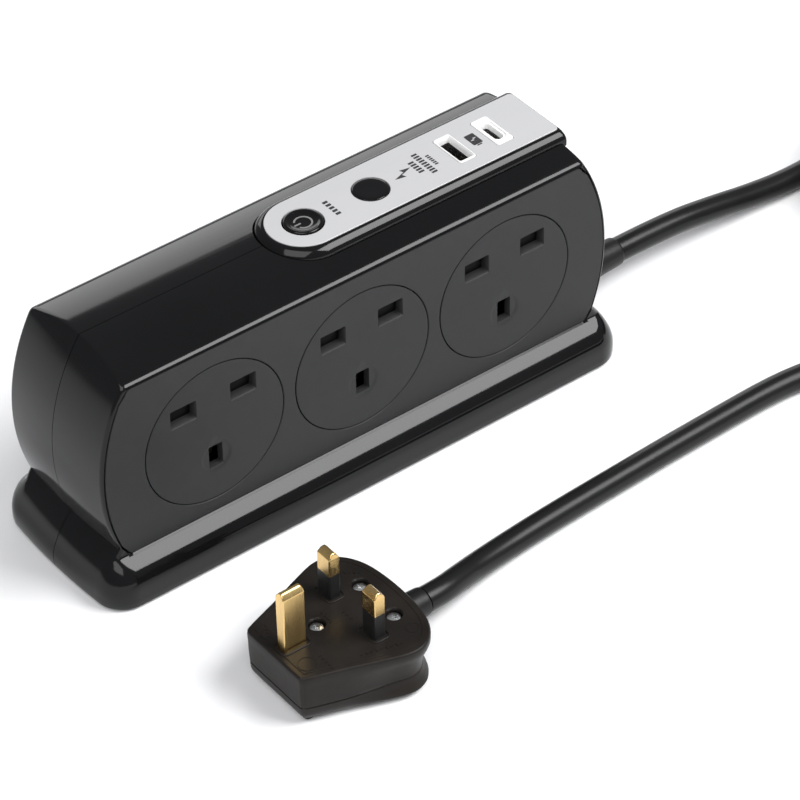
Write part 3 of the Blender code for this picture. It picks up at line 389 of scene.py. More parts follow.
def casing_rings(side):
    """The outside of one half, level by level from the underside to the ridge."""
    rows = [
        (0.0006, PLINTH_X - 0.0013, PLINTH_Y - 0.0010, PLINTH_CORNER - 0.0007),
        (0.0009, PLINTH_X - 0.0006, PLINTH_Y - 0.0004, PLINTH_CORNER - 0.0003),
        (0.0015, PLINTH_X - 0.0002, PLINTH_Y, PLINTH_CORNER),
        (0.0035, PLINTH_X, PLINTH_Y, PLINTH_CORNER),
        (PLINTH_SIDE, PLINTH_X, PLINTH_Y, PLINTH_CORNER),
        (0.0068, plinth_end_x(0.0068), PLINTH_Y, PLINTH_CORNER),
    ]
    # The plinth's upper edge rolls over in a wide round, into a ledge that slopes up to the plate.
    lean = math.radians(PLINTH_SLOPE)
    slope_rise = (PLINTH_Y - PLINTH_ROLL * (1 - math.sin(lean)) - LEDGE_Y) * math.tan(lean)
    start = LEDGE_Z - slope_rise - PLINTH_ROLL * math.cos(lean)
    for step in range(1, 13):
        angle = (math.pi / 2 - lean) * step / 12
        y = PLINTH_Y - PLINTH_ROLL * (1 - math.cos(angle))
        z = start + PLINTH_ROLL * math.sin(angle)
        rows.append((z, plinth_end_x(z), y, PLINTH_CORNER - (PLINTH_Y - y)))
    last_z, last_y = rows[-1][0], rows[-1][2]
    for share in (0.33, 0.66, 1.0):
        z = last_z + (LEDGE_Z - last_z) * share
        y = last_y + (LEDGE_Y - last_y) * share
        rows.append((z, plinth_end_x(z), y, LEDGE_CORNER * (2 - share)))
    for z in (0.0173, 0.0182, 0.0193, PLINTH_MEETS):
        share = (PLINTH_MEETS - z) / (PLINTH_MEETS - LEDGE_Z)
        rows.append((z, plinth_end_x(z), FACE_Y, END_CORNER + 0.0014 * share))
    for step in range(1, 26):
        z = PLINTH_MEETS + (0.0800 - PLINTH_MEETS) * step / 25
        rows.append((z, end_x(z), FACE_Y, END_CORNER))
    for degrees in (18, 36, 54, 72):
        angle = math.radians(degrees)
        z = SHOULDER_Z + SHOULDER_ROUND * math.sin(angle)
        rows.append((z, end_x(z), FACE_Y - SHOULDER_ROUND * (1 - math.cos(angle)), END_CORNER))
    for y in (0.0229, 0.0218, *(0.0020 * step for step in range(10, 1, -1)), 0.0022, 0.0010):
        rows.append((crown_z(y), end_x(crown_z(y)), y, END_CORNER))
    return [half_ring(*row, side) for row in rows]


def cavity_rings(side):
    """The hollow of one half, a wall's thickness inside it."""
    inner_y = FACE_Y - WALL
    room = PLINTH_Y - WALL - 0.0008
    rows = [
        (0.0031, PLINTH_X - WALL - 0.0004, room, 0.0060),
        (0.0100, plinth_end_x(0.0100) - WALL - 0.001, room, 0.0060),
        (0.0120, plinth_end_x(0.0120) - WALL - 0.0012, room - 0.0016, 0.0050),
        (0.0132, plinth_end_x(0.0135) - WALL - 0.0016, inner_y, 0.0015),
        (0.0180, plinth_end_x(0.0180) - WALL - 0.0014, inner_y, 0.0015),
    ] + [(z, end_x(z) - WALL, inner_y, 0.0010) for z in (0.0230, 0.030, 0.042, 0.054, 0.066, 0.0755, CEILING)]
    return [half_ring(*row, side, start=-0.002) for row in rows]


def plate_outline(grow):
    """The socket plate seen from the front: flat above and below, bowed at its ends, corners round."""
    bottom, top, corner = PLATE_BOTTOM - grow, PLATE_TOP + grow, 0.0022
    inset = END_X - PLATE_EDGE
    right_side = arc(end_x(bottom) - inset + grow - corner, bottom + corner, corner, -90, -15, 5)
    for step in range(1, 30):
        z = bottom + corner + (top - bottom - 2 * corner) * step / 30
        right_side.append((end_x(z) - inset + grow, z))
    right_side += arc(end_x(top) - inset + grow - corner, top - corner, corner, 15, 90, 5)
    return right_side + [(-x, z) for x, z in reversed(right_side)]


def pad_outline(radius, end=PAD_END_X):
    """The control pad seen from above: round at one end, square at the other, with small corners."""
    corner = 0.0014
    left = arc(BUTTON_X, 0, radius, 90, 270, 40)
    right_end = arc(end - corner, -radius + corner, corner, -90, 0, 6)
    return left + right_end + arc(end - corner, radius - corner, corner, 0, 90, 6)


piano_black = finish("polished_black_abs", (0.0045, 0.0045, 0.0048), 0.10, cloud=(22, 0.14),
                     grain=(140, 0.000006), specular=0.26)
SIDES = {"front": -1, "rear": 1}
for word, side in SIDES.items():
    half = stack(f"{word}_casing", casing_rings(side), piano_black)
    hollow = stack("hollow", cavity_rings(side))
    at = side * (FACE_Y - PLATE_THICK - GAP)
    window = slab("window", plate_outline,
                  [(at, GAP), (side * (FACE_Y - 0.0004), GAP), (side * (FACE_Y + 0.0006), 0.0013)], axis="Y")
    seat = slab("seat", lambda grow: pad_outline(PAD_RADIUS + 0.00025 + grow, 0.110),
                [(PAD_FLOOR - GAP, 0), (0.095, 0)])
    through = slab("through", lambda grow: pad_outline(PAD_RADIUS - 0.003 + grow, 0.0805),
                   [(0.0727, 0), (0.090, 0)])
    lead_way = spun("lead_way", [(0, 0), (0, GLAND_HOLE), (0.030, GLAND_HOLE), (0.030, 0)],
                    (0.0825, 0, CORD_Z), "X", steps=32)
    cut_by(half, hollow, window, seat, through, lead_way)
    soften(half, 34)
    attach(half, "casing")
    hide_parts(f"{word}_shell")


def paint(node, material):
    """Gives a piece that is shown as it was designed its finish."""
    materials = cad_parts[node].data.materials
    materials.clear()
    materials.append(material)


rubber = finish("foot_rubber", (0.020, 0.020, 0.020), 0.75, cloud=(120, 0.15), grain=(1800, 0.00004))
for number in (1, 2, 3, 4):
    paint(f"rubber_foot_{number}", rubber)


# ---------------------------------------------------------------- socket plates and faces
# Charcoal polycarbonate with a fine spark-eroded texture. Three round faces sit in each plate with
# a hairline gap; their slots have sloping lips, and the earth slot lies in a shallow dish.
PITCH, SOCKET_Z, DISC_RADIUS, DISC_THICK = 0.0564, 0.0479, 0.02575, 0.0030
PIN_SPACING, PIN_ROW, EARTH_DROP = 0.01111, 0.0126, 0.0096
SIDE_SLOT, EARTH_SLOT = (0.0084, 0.0058), (0.0046, 0.0080)
SCREW_PLACES = [(x, z) for x in (-PITCH / 2, PITCH / 2) for z in (0.0212, 0.0752)]
charcoal = finish("charcoal_texture", (0.024, 0.024, 0.0245), 0.50, cloud=(260, 0.07), grain=(2600, 0.000035),
                  specular=0.25)
disc_charcoal = finish("charcoal_face", (0.0225, 0.0225, 0.023), 0.46, cloud=(260, 0.07),
                       grain=(2600, 0.000030), specular=0.25)


def slot_outline(centre, size):
    """A slot seen from the front, with slightly round corners."""
    (x, z), (w, h) = centre, size

    def outline(grow):
        a, b, corner = w / 2 + grow, h / 2 + grow, 0.00045
        points = arc(x + a - corner, z + b - corner, corner, 0, 90, 3)
        points += arc(x - a + corner, z + b - corner, corner, 90, 180, 3)
        points += arc(x - a + corner, z - b + corner, corner, 180, 270, 3)
        return points + arc(x + a - corner, z - b + corner, corner, 270, 360, 3)

    return outline


def facing(side, profile):
    """A turned profile, drawn for the rear face and turned round for the front one."""
    return profile if side > 0 else [(-along, radius) for along, radius in reversed(profile)]


for word, side in SIDES.items():
    face = side * FACE_Y
    plate = slab(f"{word}_plate", plate_outline,
                 [(face - side * PLATE_THICK, 0), (face - side * 0.0004, 0),
                  (face - side * 0.0001, -0.00012), (face, -0.0004)], axis="Y", material=charcoal)
    bore = facing(side, [(-0.006, 0), (-0.006, DISC_RADIUS + GAP), (-0.0002, DISC_RADIUS + GAP),
                         (0.0004, DISC_RADIUS + GAP + 0.0006), (0.0004, 0)])
    bores = [spun("bore", bore, (x, face, SOCKET_Z), "Y", steps=128) for x in (-PITCH, 0, PITCH)]
    if side > 0:
        well = [(-0.004, 0), (-0.004, 0.0033), (-0.0001, 0.0033), (0.0004, 0.0038), (0.0004, 0)]
        bores += [spun("screw_well", well, (x, face, z), "Y", steps=40) for x, z in SCREW_PLACES]
    cut_by(plate, *bores)
    soften(plate, 30)
    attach(plate, "casing")
    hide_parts(f"{word}_socket_plate")

    for number, x in enumerate((side * PITCH, 0.0, -side * PITCH), 1):
        profile = facing(side, [(-DISC_THICK, 0), (-DISC_THICK, DISC_RADIUS), (-0.0004, DISC_RADIUS),
                                (-0.0001, DISC_RADIUS - 0.0001), (0, DISC_RADIUS - 0.0004), (0, 0)])
        disc = spun(f"socket_disc_{word}_{number}", profile, (x, face, SOCKET_Z), "Y", disc_charcoal,
                    steps=128)
        dish = facing(side, [(-0.00045, 0), (-0.00045, 0.0044), (-0.00038, 0.0052), (0.0003, 0.0066),
                             (0.0003, 0)])
        cutters = [spun("dish", dish, (x, face, SOCKET_Z - EARTH_DROP), "Y", steps=64)]
        for dx, dz, size, lip in ((-PIN_SPACING, PIN_ROW, SIDE_SLOT, 0.0003),
                                  (PIN_SPACING, PIN_ROW, SIDE_SLOT, 0.0003),
                                  (0, -EARTH_DROP, EARTH_SLOT, 0.0002)):
            cutters.append(slab("slot", slot_outline((x + dx, SOCKET_Z + dz), size), [
                (face - side * (DISC_THICK + 0.001), 0), (face - side * 0.0022, 0),
                (face - side * 0.0006, lip), (face + side * 0.0006, lip + 0.0007)], axis="Y"))
        cut_by(disc, *cutters)
        soften(disc, 30)
        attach(disc, "casing")
        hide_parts(f"socket_face_{word}_{number}")

# The shutters are plain satin nylon slides, seen only through the slots.
shutter_nylon = finish("shutter_nylon", (0.005, 0.005, 0.005), 0.45, cloud=(90, 0.12), grain=(1500, 0.00002),
                       specular=0.15)
for word in SIDES:
    for number in (1, 2, 3):
        paint(f"shutter_{word}_{number}", shutter_nylon)


# ---------------------------------------------------------------- the control pad
# A polished black rim, clipped into the crown, carries the label plate, the button, the lens and
# the two charging ports. Its shoulder rolls down to the crown all round.
LABEL_TOP, LABEL_RADIUS = 0.0878, 0.0122
BUTTON_BORE, LENS_BORE = 0.0068, 0.0062
USB_A_X, USB_C_X, USB_FRAME = 0.0562, 0.0712, (0.0066, 0.0146)


def box_outline(centre, size, corner, steps=5):
    """A rectangle with round corners."""
    (x, y), (w, h) = centre, size

    def outline(grow=0.0):
        a, b, c = w / 2 + grow, h / 2 + grow, max(0.0001, corner + grow)
        points = []
        for sx, sy, start in ((1, 1, 0), (-1, 1, 90), (-1, -1, 180), (1, -1, 270)):
            points += arc(x + sx * (a - c), y + sy * (b - c), c, start, start + 90, steps)
        return points

    return outline


def round_bore(x, radius, low, high):
    """A cutter for a round hole that opens out a little at the label."""
    profile = [(low, 0), (low, radius), (LABEL_TOP - 0.0003, radius), (high, radius + 0.0007), (high, 0)]
    return spun("bore", profile, (x, 0, 0), "Z", steps=80)


def port_way(x, low, high, grow=0.0002):
    """A cutter for the place of a charging port."""
    return slab("port_way", lambda more: box_outline((x, 0), USB_FRAME, 0.0009)(grow + more),
                [(low, 0), (high, 0)])


pad_levels = [(PAD_FLOOR, 0.0), (0.0840, 0.0), (0.0850, -0.0001), (0.0858, -0.0005), (0.0865, -0.0011),
              (0.08705, -0.0018), (0.0874, -0.0024), (PAD_TOP, -0.0030)]
pad_rings = []
for z, grow in pad_levels:
    pad_rings.append([Vector((x, y, z)) for x, y in pad_outline(PAD_RADIUS + grow, PAD_END_X + 0.35 * grow)])
pad = stack("control_pad_rim", pad_rings, piano_black)
label_seat = slab("seat", lambda grow: pad_outline(LABEL_RADIUS + 0.0002 + grow, PAD_END_X - 0.0010),
                  [(LABEL_TOP - 0.0008, 0), (0.0890, 0)])
under = slab("under", lambda grow: pad_outline(PAD_RADIUS - 0.004 + grow, 0.0800), [(0.0820, 0), (0.0845, 0)])
cut_by(pad, label_seat, under,
       round_bore(BUTTON_X, BUTTON_BORE, 0.080, 0.089), round_bore(LENS_X, LENS_BORE, 0.080, 0.089),
       port_way(USB_A_X, 0.080, 0.089), port_way(USB_C_X, 0.080, 0.089))
soften(pad, 40)
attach(pad, "casing")
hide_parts("control_pad")

# The label is a thin satin silver plate, brushed along its length, with plain printed marks.
satin_silver = finish("satin_silver", (0.46, 0.46, 0.465), 0.38, metallic=0.10, cloud=(30, 0.03),
                      grain=(900, 0.000006), stretch=(0.15, 1, 1), specular=0.4)
label = slab("label_plate", lambda grow: pad_outline(LABEL_RADIUS + grow, PAD_END_X - 0.0012 + grow), [
    (LABEL_TOP - 0.0006, 0), (LABEL_TOP - 0.0001, 0), (LABEL_TOP, -0.0001)], material=satin_silver)
cut_by(label, round_bore(BUTTON_X, BUTTON_BORE - 0.00005, 0.080, 0.0892),
       round_bore(LENS_X, LENS_BORE - 0.00005, 0.080, 0.0892),
       port_way(USB_A_X, 0.080, 0.089, 0.00012), port_way(USB_C_X, 0.080, 0.089, 0.00012))
soften(label, 30)
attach(label, "casing")
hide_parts("silver_label")

ink = finish("label_ink", (0.012, 0.012, 0.013), 0.50, cloud=(400, 0.10), grain=(3000, 0.000004))
INK = 0.00005               # thickness of the print
BATTERY_X = 0.0639


def flat_piece(name, outline, low, high, material, body):
    """A thin printed mark on its own."""
    piece = stack(name, [[Vector((x, y, z)) for x, y in outline] for z in (low, high)], material)
    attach(piece, body)


def bolt_shape(x, y, size):
    """A plain lightning flash, the usual sign for charging."""
    shape = [(-0.9, -0.25), (0.15, 0.10), (0.0, 0.45), (0.9, 0.25), (-0.15, -0.10), (0.0, -0.45)]
    return [(x + size * px, y + size * py) for px, py in shape]


def printed(name, outline):
    """A mark in black ink on the label."""
    flat_piece(name, outline, LABEL_TOP, LABEL_TOP + INK, ink, "casing")


def tick_row(name, x, half, count, height):
    """A row of short plain bars across the label, where printed words would stand."""
    pitch = 2 * half / count
    for index in range(count):
        y = -half + pitch * (index + 0.5)
        printed(f"{name}_{index + 1}", box_outline((x, y), (height, 0.62 * pitch), 0.00012, 2)())


tick_row("power_ticks", 0.0080, 0.0043, 5, 0.0018)
tick_row("surge_ticks_upper", 0.0410, 0.0034, 5, 0.0021)
tick_row("surge_ticks_middle", 0.0442, 0.0060, 9, 0.0021)
tick_row("surge_ticks_lower", 0.0472, 0.0030, 6, 0.0013)
printed("surge_sign", bolt_shape(0.0357, 0.0, 0.0042))
printed("battery_sign", box_outline((BATTERY_X, 0.0002), (0.0036, 0.0056), 0.0004)())
printed("battery_tip", box_outline((BATTERY_X, -0.0031), (0.0018, 0.0005), 0.0001)())
flat_piece("battery_flash", bolt_shape(BATTERY_X, 0.0002, 0.0015), LABEL_TOP + INK, LABEL_TOP + 2 * INK,
           satin_silver, "casing")


# ---------------------------------------------------------------- the button and the lens
# The button is a dished black cap on a stem that reaches into the switch; its sign is printed in
# grey. The lens beside it is a plain black dome.
CAP_TOP, CAP_RADIUS, STEM_FOOT = 0.0883, 0.0064, 0.0789
cap_profile = [
    (STEM_FOOT, 0), (STEM_FOOT, 0.0022), (0.0853, 0.0022), (0.0853, 0.0054), (0.0823, 0.0054),
    (0.0823, CAP_RADIUS), (CAP_TOP - 0.0007, CAP_RADIUS), (CAP_TOP - 0.0003, 0.00625),
    (CAP_TOP - 0.0001, 0.0060), (CAP_TOP, 0.0056), (CAP_TOP - 0.0001, 0.0052),
    (CAP_TOP - 0.0004, 0.0048), (CAP_TOP - 0.0006, 0.0042), (CAP_TOP - 0.00075, 0.0030),
    (CAP_TOP - 0.0008, 0.0015), (CAP_TOP - 0.0008, 0),
]
button = spun("button_cap", cap_profile, (BUTTON_X, 0, 0), "Z", piano_black, steps=96)
soften(button, 40)
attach(button, "button")
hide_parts("power_button")

grey_print = finish("grey_print", (0.16, 0.16, 0.16), 0.45, cloud=(300, 0.08), grain=(2500, 0.000004))
sign_z = CAP_TOP - 0.00073
ring_points = arc(BUTTON_X, 0, 0.0031, -148, 148, 40) + arc(BUTTON_X, 0, 0.0025, 148, -148, 40)
bar_points = box_outline((BUTTON_X - 0.0022, 0), (0.0026, 0.0006), 0.0002)()
for name, outline in (("power_sign_ring", ring_points), ("power_sign_bar", bar_points)):
    flat_piece(name, outline, sign_z - 0.0001, sign_z + 0.00003, grey_print, "button")

lens_dome = spun("status_lens_dome", [
    (0.0841, 0), (0.0841, 0.0060), (0.0877, 0.0060), (0.0879, 0.00585), (0.08805, 0.0054), (0.0881, 0.0046),
    (0.08805, 0.0025), (0.0880, 0)], (LENS_X, 0, 0), "Z", piano_black, steps=96)
soften(lens_dome, 40)
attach(lens_dome, "casing")
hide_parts("status_lens")


# ---------------------------------------------------------------- the charging ports
# Each port has a white snap-in frame with a rounded lip; below it stands a folded steel shell with
# the contact tongue inside.
white_frame = finish("white_frame", (0.80, 0.80, 0.79), 0.34, cloud=(80, 0.02), grain=(1600, 0.000008))
bright_steel = finish("bright_steel", (0.60, 0.60, 0.62), 0.26, metallic=1.0, cloud=(70, 0.10),
                      grain=(900, 0.00001), stretch=(1, 1, 0.2))
tongue_black = finish("tongue_plastic", (0.018, 0.018, 0.018), 0.40, cloud=(200, 0.10), grain=(1500, 0.00001))
gold = finish("contact_gold", (0.80, 0.60, 0.25), 0.25, metallic=1.0, cloud=(300, 0.06),
              grain=(2000, 0.000006))

# Each entry: middle, opening and its corner, can and its corner, tongue's place and size, contacts.
ports = {
    "usb_a": (USB_A_X, (0.0048, 0.0124), 0.0003, (0.0057, 0.0132), 0.0004, -0.0010, (0.0018, 0.0110), 4),
    "usb_c": (USB_C_X, (0.0031, 0.0091), 0.0015, (0.0032, 0.0089), 0.00155, 0.0, (0.0007, 0.0064), 6),
}
for word, (x, hole, corner, can_size, can_corner, tongue_shift, tongue_size, contacts) in ports.items():
    top = LABEL_TOP + 0.0003
    bezel = slab(f"{word}_bezel", box_outline((x, 0), USB_FRAME, 0.0010),
                 [(0.0856, 0), (top - 0.0003, 0), (top - 0.0001, -0.0001), (top, -0.0003)],
                 material=white_frame)
    way = slab("way", box_outline((x, 0), hole, corner, 8),
               [(0.085, 0), (top - 0.0009, 0), (top - 0.0005, 0.0002), (top + 0.0003, 0.0006)])
    if word == "usb_c":
        tray = slab("tray", box_outline((x, 0), (0.0046, 0.0110), 0.0021, 8),
                    [(top - 0.0005, 0), (top - 0.0001, 0.0002), (top + 0.0004, 0.0006)])
        cut_by(bezel, tray, way)
    else:
        cut_by(bezel, way)
    soften(bezel, 40)
    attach(bezel, "casing")
    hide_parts(f"{word}_frame")

    can_outline = box_outline((x, 0), can_size, can_corner, 8)
    can = slab(f"{word}_can", can_outline, [(0.0724, 0), (0.0850, 0), (0.0853, -0.00008)],
               material=bright_steel)
    cut_by(can, slab("hollow", can_outline, [(0.0758, -0.0003), (0.0850, -0.0003), (0.0854, -0.0002)]))
    soften(can, 40)
    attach(can, "casing")
    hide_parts(f"{word}_shell")

    tongue_x = x + tongue_shift
    tongue = slab(f"{word}_tongue", box_outline((tongue_x, 0), tongue_size, 0.0002, 3),
                  [(0.0757, 0), (0.0839, 0), (0.0841, -0.0001)], material=tongue_black)
    soften(tongue, 30)
    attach(tongue, "casing")
    spread, contact_width = (0.0070, 0.0010) if contacts == 4 else (0.0050, 0.0004)
    for index in range(contacts):
        y = spread * (index / (contacts - 1) - 0.5)
        place = (tongue_x + tongue_size[0] / 2, y)
        contact = slab(f"{word}_contact_{index + 1}",
                       box_outline(place, (0.00016, contact_width), 0.00005, 2),
                       [(0.0765, 0), (0.0838, 0)], material=gold)
        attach(contact, "casing")


# ---------------------------------------------------------------- the gland and the tie
# A soft PVC gland grips the lead in the casing's end and tapers down to it. A woven
# hook-and-loop strap holds the wound turns together.
soft_pvc = finish("soft_pvc", (0.009, 0.009, 0.009), 0.42, cloud=(90, 0.10), grain=(1300, 0.00003),
                  specular=0.25)
GLAND_NECK, GLAND_FLANGE = 0.0052, 0.0060
gland_profile = [(0.0800, 0), (0.0800, CORD_RADIUS), (0.0890, CORD_RADIUS), (0.0890, GLAND_FLANGE),
                 (0.0910, GLAND_FLANGE), (0.0910, GLAND_NECK), (0.1035, GLAND_NECK), (0.1035, GLAND_FLANGE),
                 (0.1037, 0.0062), (0.1046, 0.0063)]
for step in range(9):
    along = step / 8
    gland_profile.append((0.1055 + 0.0178 * along, 0.0062 - 0.0013 * along**0.8))
gland_profile += [(GLAND_END_X - 0.0003, 0.0048), (GLAND_END_X, 0.0046), (GLAND_END_X, 0)]
gland = spun("gland", gland_profile, (0, 0, CORD_Z), "X", soft_pvc, steps=64)
soften(gland, 40)
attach(gland, "casing")
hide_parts("cord_gland")


def hoop(name, rings, material):
    """A band that closes on itself both ways, through rings with the same number of points."""
    builder = bmesh.new()
    rows = [[builder.verts.new(point) for point in ring] for ring in rings]
    count = len(rows[0])
    for index, lower in enumerate(rows):
        upper = rows[(index + 1) % len(rows)]
        for i in range(count):
            j = (i + 1) % count
            builder.faces.new((lower[i], lower[j], upper[j], upper[i]))
    return put(name, builder, material)


webbing = finish("woven_strap", (0.020, 0.020, 0.021), 0.85, cloud=(500, 0.25), grain=(1400, 0.00012),
                 sheen=0.3)
coil_low, coil_high = 0.0012, layers[2] + CORD_RADIUS
turn_middle = (turn_out + turn_in) / 2
strap_in = box_outline((coil_centre.x + turn_middle, (coil_low + coil_high) / 2),
                       (2 * (turn_out - turn_middle + CORD_RADIUS) + 0.0008, coil_high - coil_low + 0.0006),
                       0.0035, 8)
strap_rings = []
for across, grow in ((-0.0050, 0.0), (-0.0050, 0.0007), (-0.0047, 0.0009), (0.0047, 0.0009), (0.0050, 0.0007),
                     (0.0050, 0.0), (0.0047, -0.0001), (-0.0047, -0.0001)):
    strap_rings.append([Vector((x, coil_centre.y + across, z)) for x, z in strap_in(grow)])
strap = hoop("cord_strap", strap_rings, webbing)
soften(strap, 50)
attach(strap, "casing")
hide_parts("cord_tie")


# ---------------------------------------------------------------- the plug
# A rewirable British plug: a dark nylon base that carries the three brass pins, and a shallow
# cover below it. Both are waisted for the fingers towards the lead's end, and the cover flares out
# over a hollow round its foot.
PLUG_FACE, PLUG_PART = 0.0200, 0.0072
plug_half = [(-0.0072, 0.0), (-0.0072, 0.0112), (-0.0066, 0.0136), (-0.0042, 0.0150), (0.0070, 0.0188),
             (0.0180, 0.0229), (0.0262, 0.0253), (0.0320, 0.0243), (0.0364, 0.0203), (0.0391, 0.0146),
             (0.0403, 0.0075), (0.0406, 0.0)]


def closed_curve(points, parts):
    """A smooth closed line through the points."""
    made = []
    count = len(points)
    for i in range(count):
        a, b, c, d = (Vector(points[(i + k - 1) % count]) for k in range(4))
        for part in range(parts):
            t = part / parts
            made.append(0.5 * (2 * b + (c - a) * t + (2 * a - 5 * b + 4 * c - d) * t**2
                               + (3 * b - a - 3 * c + d) * t**3))
    return made


plug_line = closed_curve(plug_half + [(x, -y) for x, y in reversed(plug_half[1:-1])], 5)


def plug_ring(z, inset, waist):
    """The plug's outline at a height, drawn in by an inset all round and by a waist on its flanks."""
    ring = []
    count = len(plug_line)
    for i, point in enumerate(plug_line):
        along = (plug_line[(i + 1) % count] - plug_line[i - 1]).normalized()
        outward = Vector((along.y, -along.x))
        if outward.dot(point - Vector((0.016, 0))) < 0:
            outward = -outward
        flank = blend_step(point.x, 0.004, 0.024) * blend_step(abs(point.y), 0.004, 0.014)
        moved = point - outward * (inset + waist * flank)
        ring.append(Vector((PLUG_X + moved.x, PLUG_Y + moved.y, z)))
    return ring


plug_nylon = finish("plug_nylon", (0.0135, 0.0115, 0.0100), 0.38, cloud=(75, 0.22), grain=(420, 0.00006),
                    specular=0.15)
# Rows of (height, inset all round, waist), from the foot up.
base_rows = [(PLUG_PART + 0.0001, 0.0007, 0.0022), (PLUG_PART + 0.0004, 0.0004, 0.0023),
             (0.0090, 0.0003, 0.0023), (0.0115, 0.0002, 0.0021), (0.0140, 0.0001, 0.0013),
             (0.0160, 0.0001, 0.0004), (0.0175, 0.0, 0.0), (PLUG_FACE - 0.0009, 0.0, 0.0),
             (PLUG_FACE - 0.0004, 0.0002, 0.0), (PLUG_FACE - 0.0001, 0.0005, 0.0), (PLUG_FACE, 0.0009, 0.0)]
plug_base = stack("plug_body", [plug_ring(*row) for row in base_rows], plug_nylon)
cover_rows = [(0.0, 0.0056, 0.0), (0.0002, 0.0044, -0.0002), (0.0008, 0.0031, -0.0004),
              (0.0018, 0.0021, -0.0006), (0.0029, 0.0013, -0.0005), (0.0038, 0.0009, 0.0002),
              (0.0048, 0.0006, 0.0012), (0.0060, 0.0005, 0.0019), (PLUG_PART - 0.0003, 0.0004, 0.0022),
              (PLUG_PART, 0.0007, 0.0022)]
plug_cover = stack("plug_lid", [plug_ring(*row) for row in cover_rows], plug_nylon)
PIN_ROW_GAP, EARTH_BLADE, SIDE_BLADE = 0.02223, (0.0080, 0.0040), (0.0040, 0.0063)
pin_at = {"earth": (PLUG_X, PLUG_Y), "line": (PLUG_X + PIN_ROW_GAP, PLUG_Y - PIN_SPACING),
          "neutral": (PLUG_X + PIN_ROW_GAP, PLUG_Y + PIN_SPACING)}
screws_at = [(PLUG_X + 0.0317, PLUG_Y + 0.0083), (PLUG_X + 0.0317, PLUG_Y - 0.0083),
             (PLUG_X + 0.0110, PLUG_Y + 0.0025)]
wells = [spun("well", [(-0.006, 0), (-0.006, 0.0027), (-0.0002, 0.0027), (0.0004, 0.0033), (0.0004, 0)],
              (x, y, PLUG_FACE), "Z", steps=48) for x, y in screws_at]


def grip_hole():
    """A cutter for the bed of the lead's grip, half in the base and half in the cover."""
    return spun("grip_hole", [(-0.010, 0), (-0.010, 0.0057), (0.003, 0.0057), (0.003, 0)],
                (PLUG_X + PLUG_END, PLUG_Y, PLUG_CORD_Z), "X", steps=48)


cut_by(plug_base, grip_hole(), *wells)
cut_by(plug_cover, grip_hole())
for piece, node in ((plug_base, "plug_base"), (plug_cover, "plug_cover")):
    soften(piece, 38)
    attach(piece, "casing")
    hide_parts(node)

# A low moulded frame runs round the foot of each pin, and a fine line round the whole face. Three
# plain rings are ejector marks, and rows of plain dashes stand where wording would be moulded.
plug_bits = []
for word, (x, y) in pin_at.items():
    outline = box_outline((x, y), EARTH_BLADE if word == "earth" else SIDE_BLADE, 0.0004, 3)
    rows = [(PLUG_FACE - 0.0002, 0.0014), (PLUG_FACE + 0.00025, 0.0013), (PLUG_FACE + 0.00035, 0.0011),
            (PLUG_FACE + 0.00025, 0.0009), (PLUG_FACE - 0.0002, 0.0008)]
    plug_bits.append(hoop(f"pin_frame_{word}",
                          [[Vector((px, py, z)) for px, py in outline(grow)] for z, grow in rows],
                          plug_nylon))
for number, (x, y, radius) in enumerate(((PLUG_X - 0.0015, PLUG_Y - 0.0095, 0.0030),
                                         (PLUG_X + 0.0325, PLUG_Y - 0.0165, 0.0022),
                                         (PLUG_X - 0.0035, PLUG_Y + 0.0085, 0.0020)), 1):
    rows = []
    for z, grow in ((-0.0002, 0.0), (0.0001, 0.0), (0.00015, -0.00015), (0.0001, -0.0003),
                    (-0.0002, -0.0003)):
        rows.append([Vector((px, py, PLUG_FACE + z)) for px, py in arc(x, y, radius + grow, 0, 352.5, 47)])
    plug_bits.append(hoop(f"ejector_mark_{number}", rows, plug_nylon))
line_rows = [(-0.0002, 0.0021), (0.00012, 0.0022), (0.00020, 0.0024), (0.00012, 0.0026), (-0.0002, 0.0027)]
plug_bits.append(hoop("face_border", [plug_ring(PLUG_FACE + z, inset, 0.0) for z, inset in line_rows],
                      plug_nylon))
# Each row: where it starts from the earth pin, which way it runs, how many dashes, and their size.
dash_rows = [((0.0035, -0.0092), (0.0, -1.0), 5, 0.0011), ((0.0135, -0.0165), (0.9, -0.25), 9, 0.0011),
             ((0.0205, -0.0020), (0.0, 1.0), 3, 0.0013), ((0.0150, 0.0005), (0.0, 1.0), 4, 0.0011),
             ((-0.0035, 0.0070), (0.4, 0.9), 4, 0.0011), ((0.0345, 0.0125), (-0.8, 0.6), 6, 0.0010)]
dashes = bmesh.new()
for (dx, dy), way, count, size in dash_rows:
    for index in range(count):
        spot = Vector((PLUG_X + dx, PLUG_Y + dy)) + Vector(way).normalized() * (1.45 * size * index)
        dash = box_outline(spot, (0.35 * size, size) if index % 2 else (size, 0.35 * size), 0.0001, 2)
        foot = [dashes.verts.new((x, y, PLUG_FACE - 0.0002)) for x, y in dash()]
        rim = [dashes.verts.new((x, y, PLUG_FACE + 0.0002)) for x, y in dash(-0.00004)]
        dashes.faces.new(rim)
        dashes.faces.new(foot[::-1])
        for i, corner in enumerate(foot):
            dashes.faces.new((corner, foot[(i + 1) % len(foot)], rim[(i + 1) % len(foot)], rim[i]))
plug_bits.append(put("moulded_dashes", dashes, plug_nylon))
for piece in plug_bits:
    soften(piece, 50)
    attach(piece, "casing")

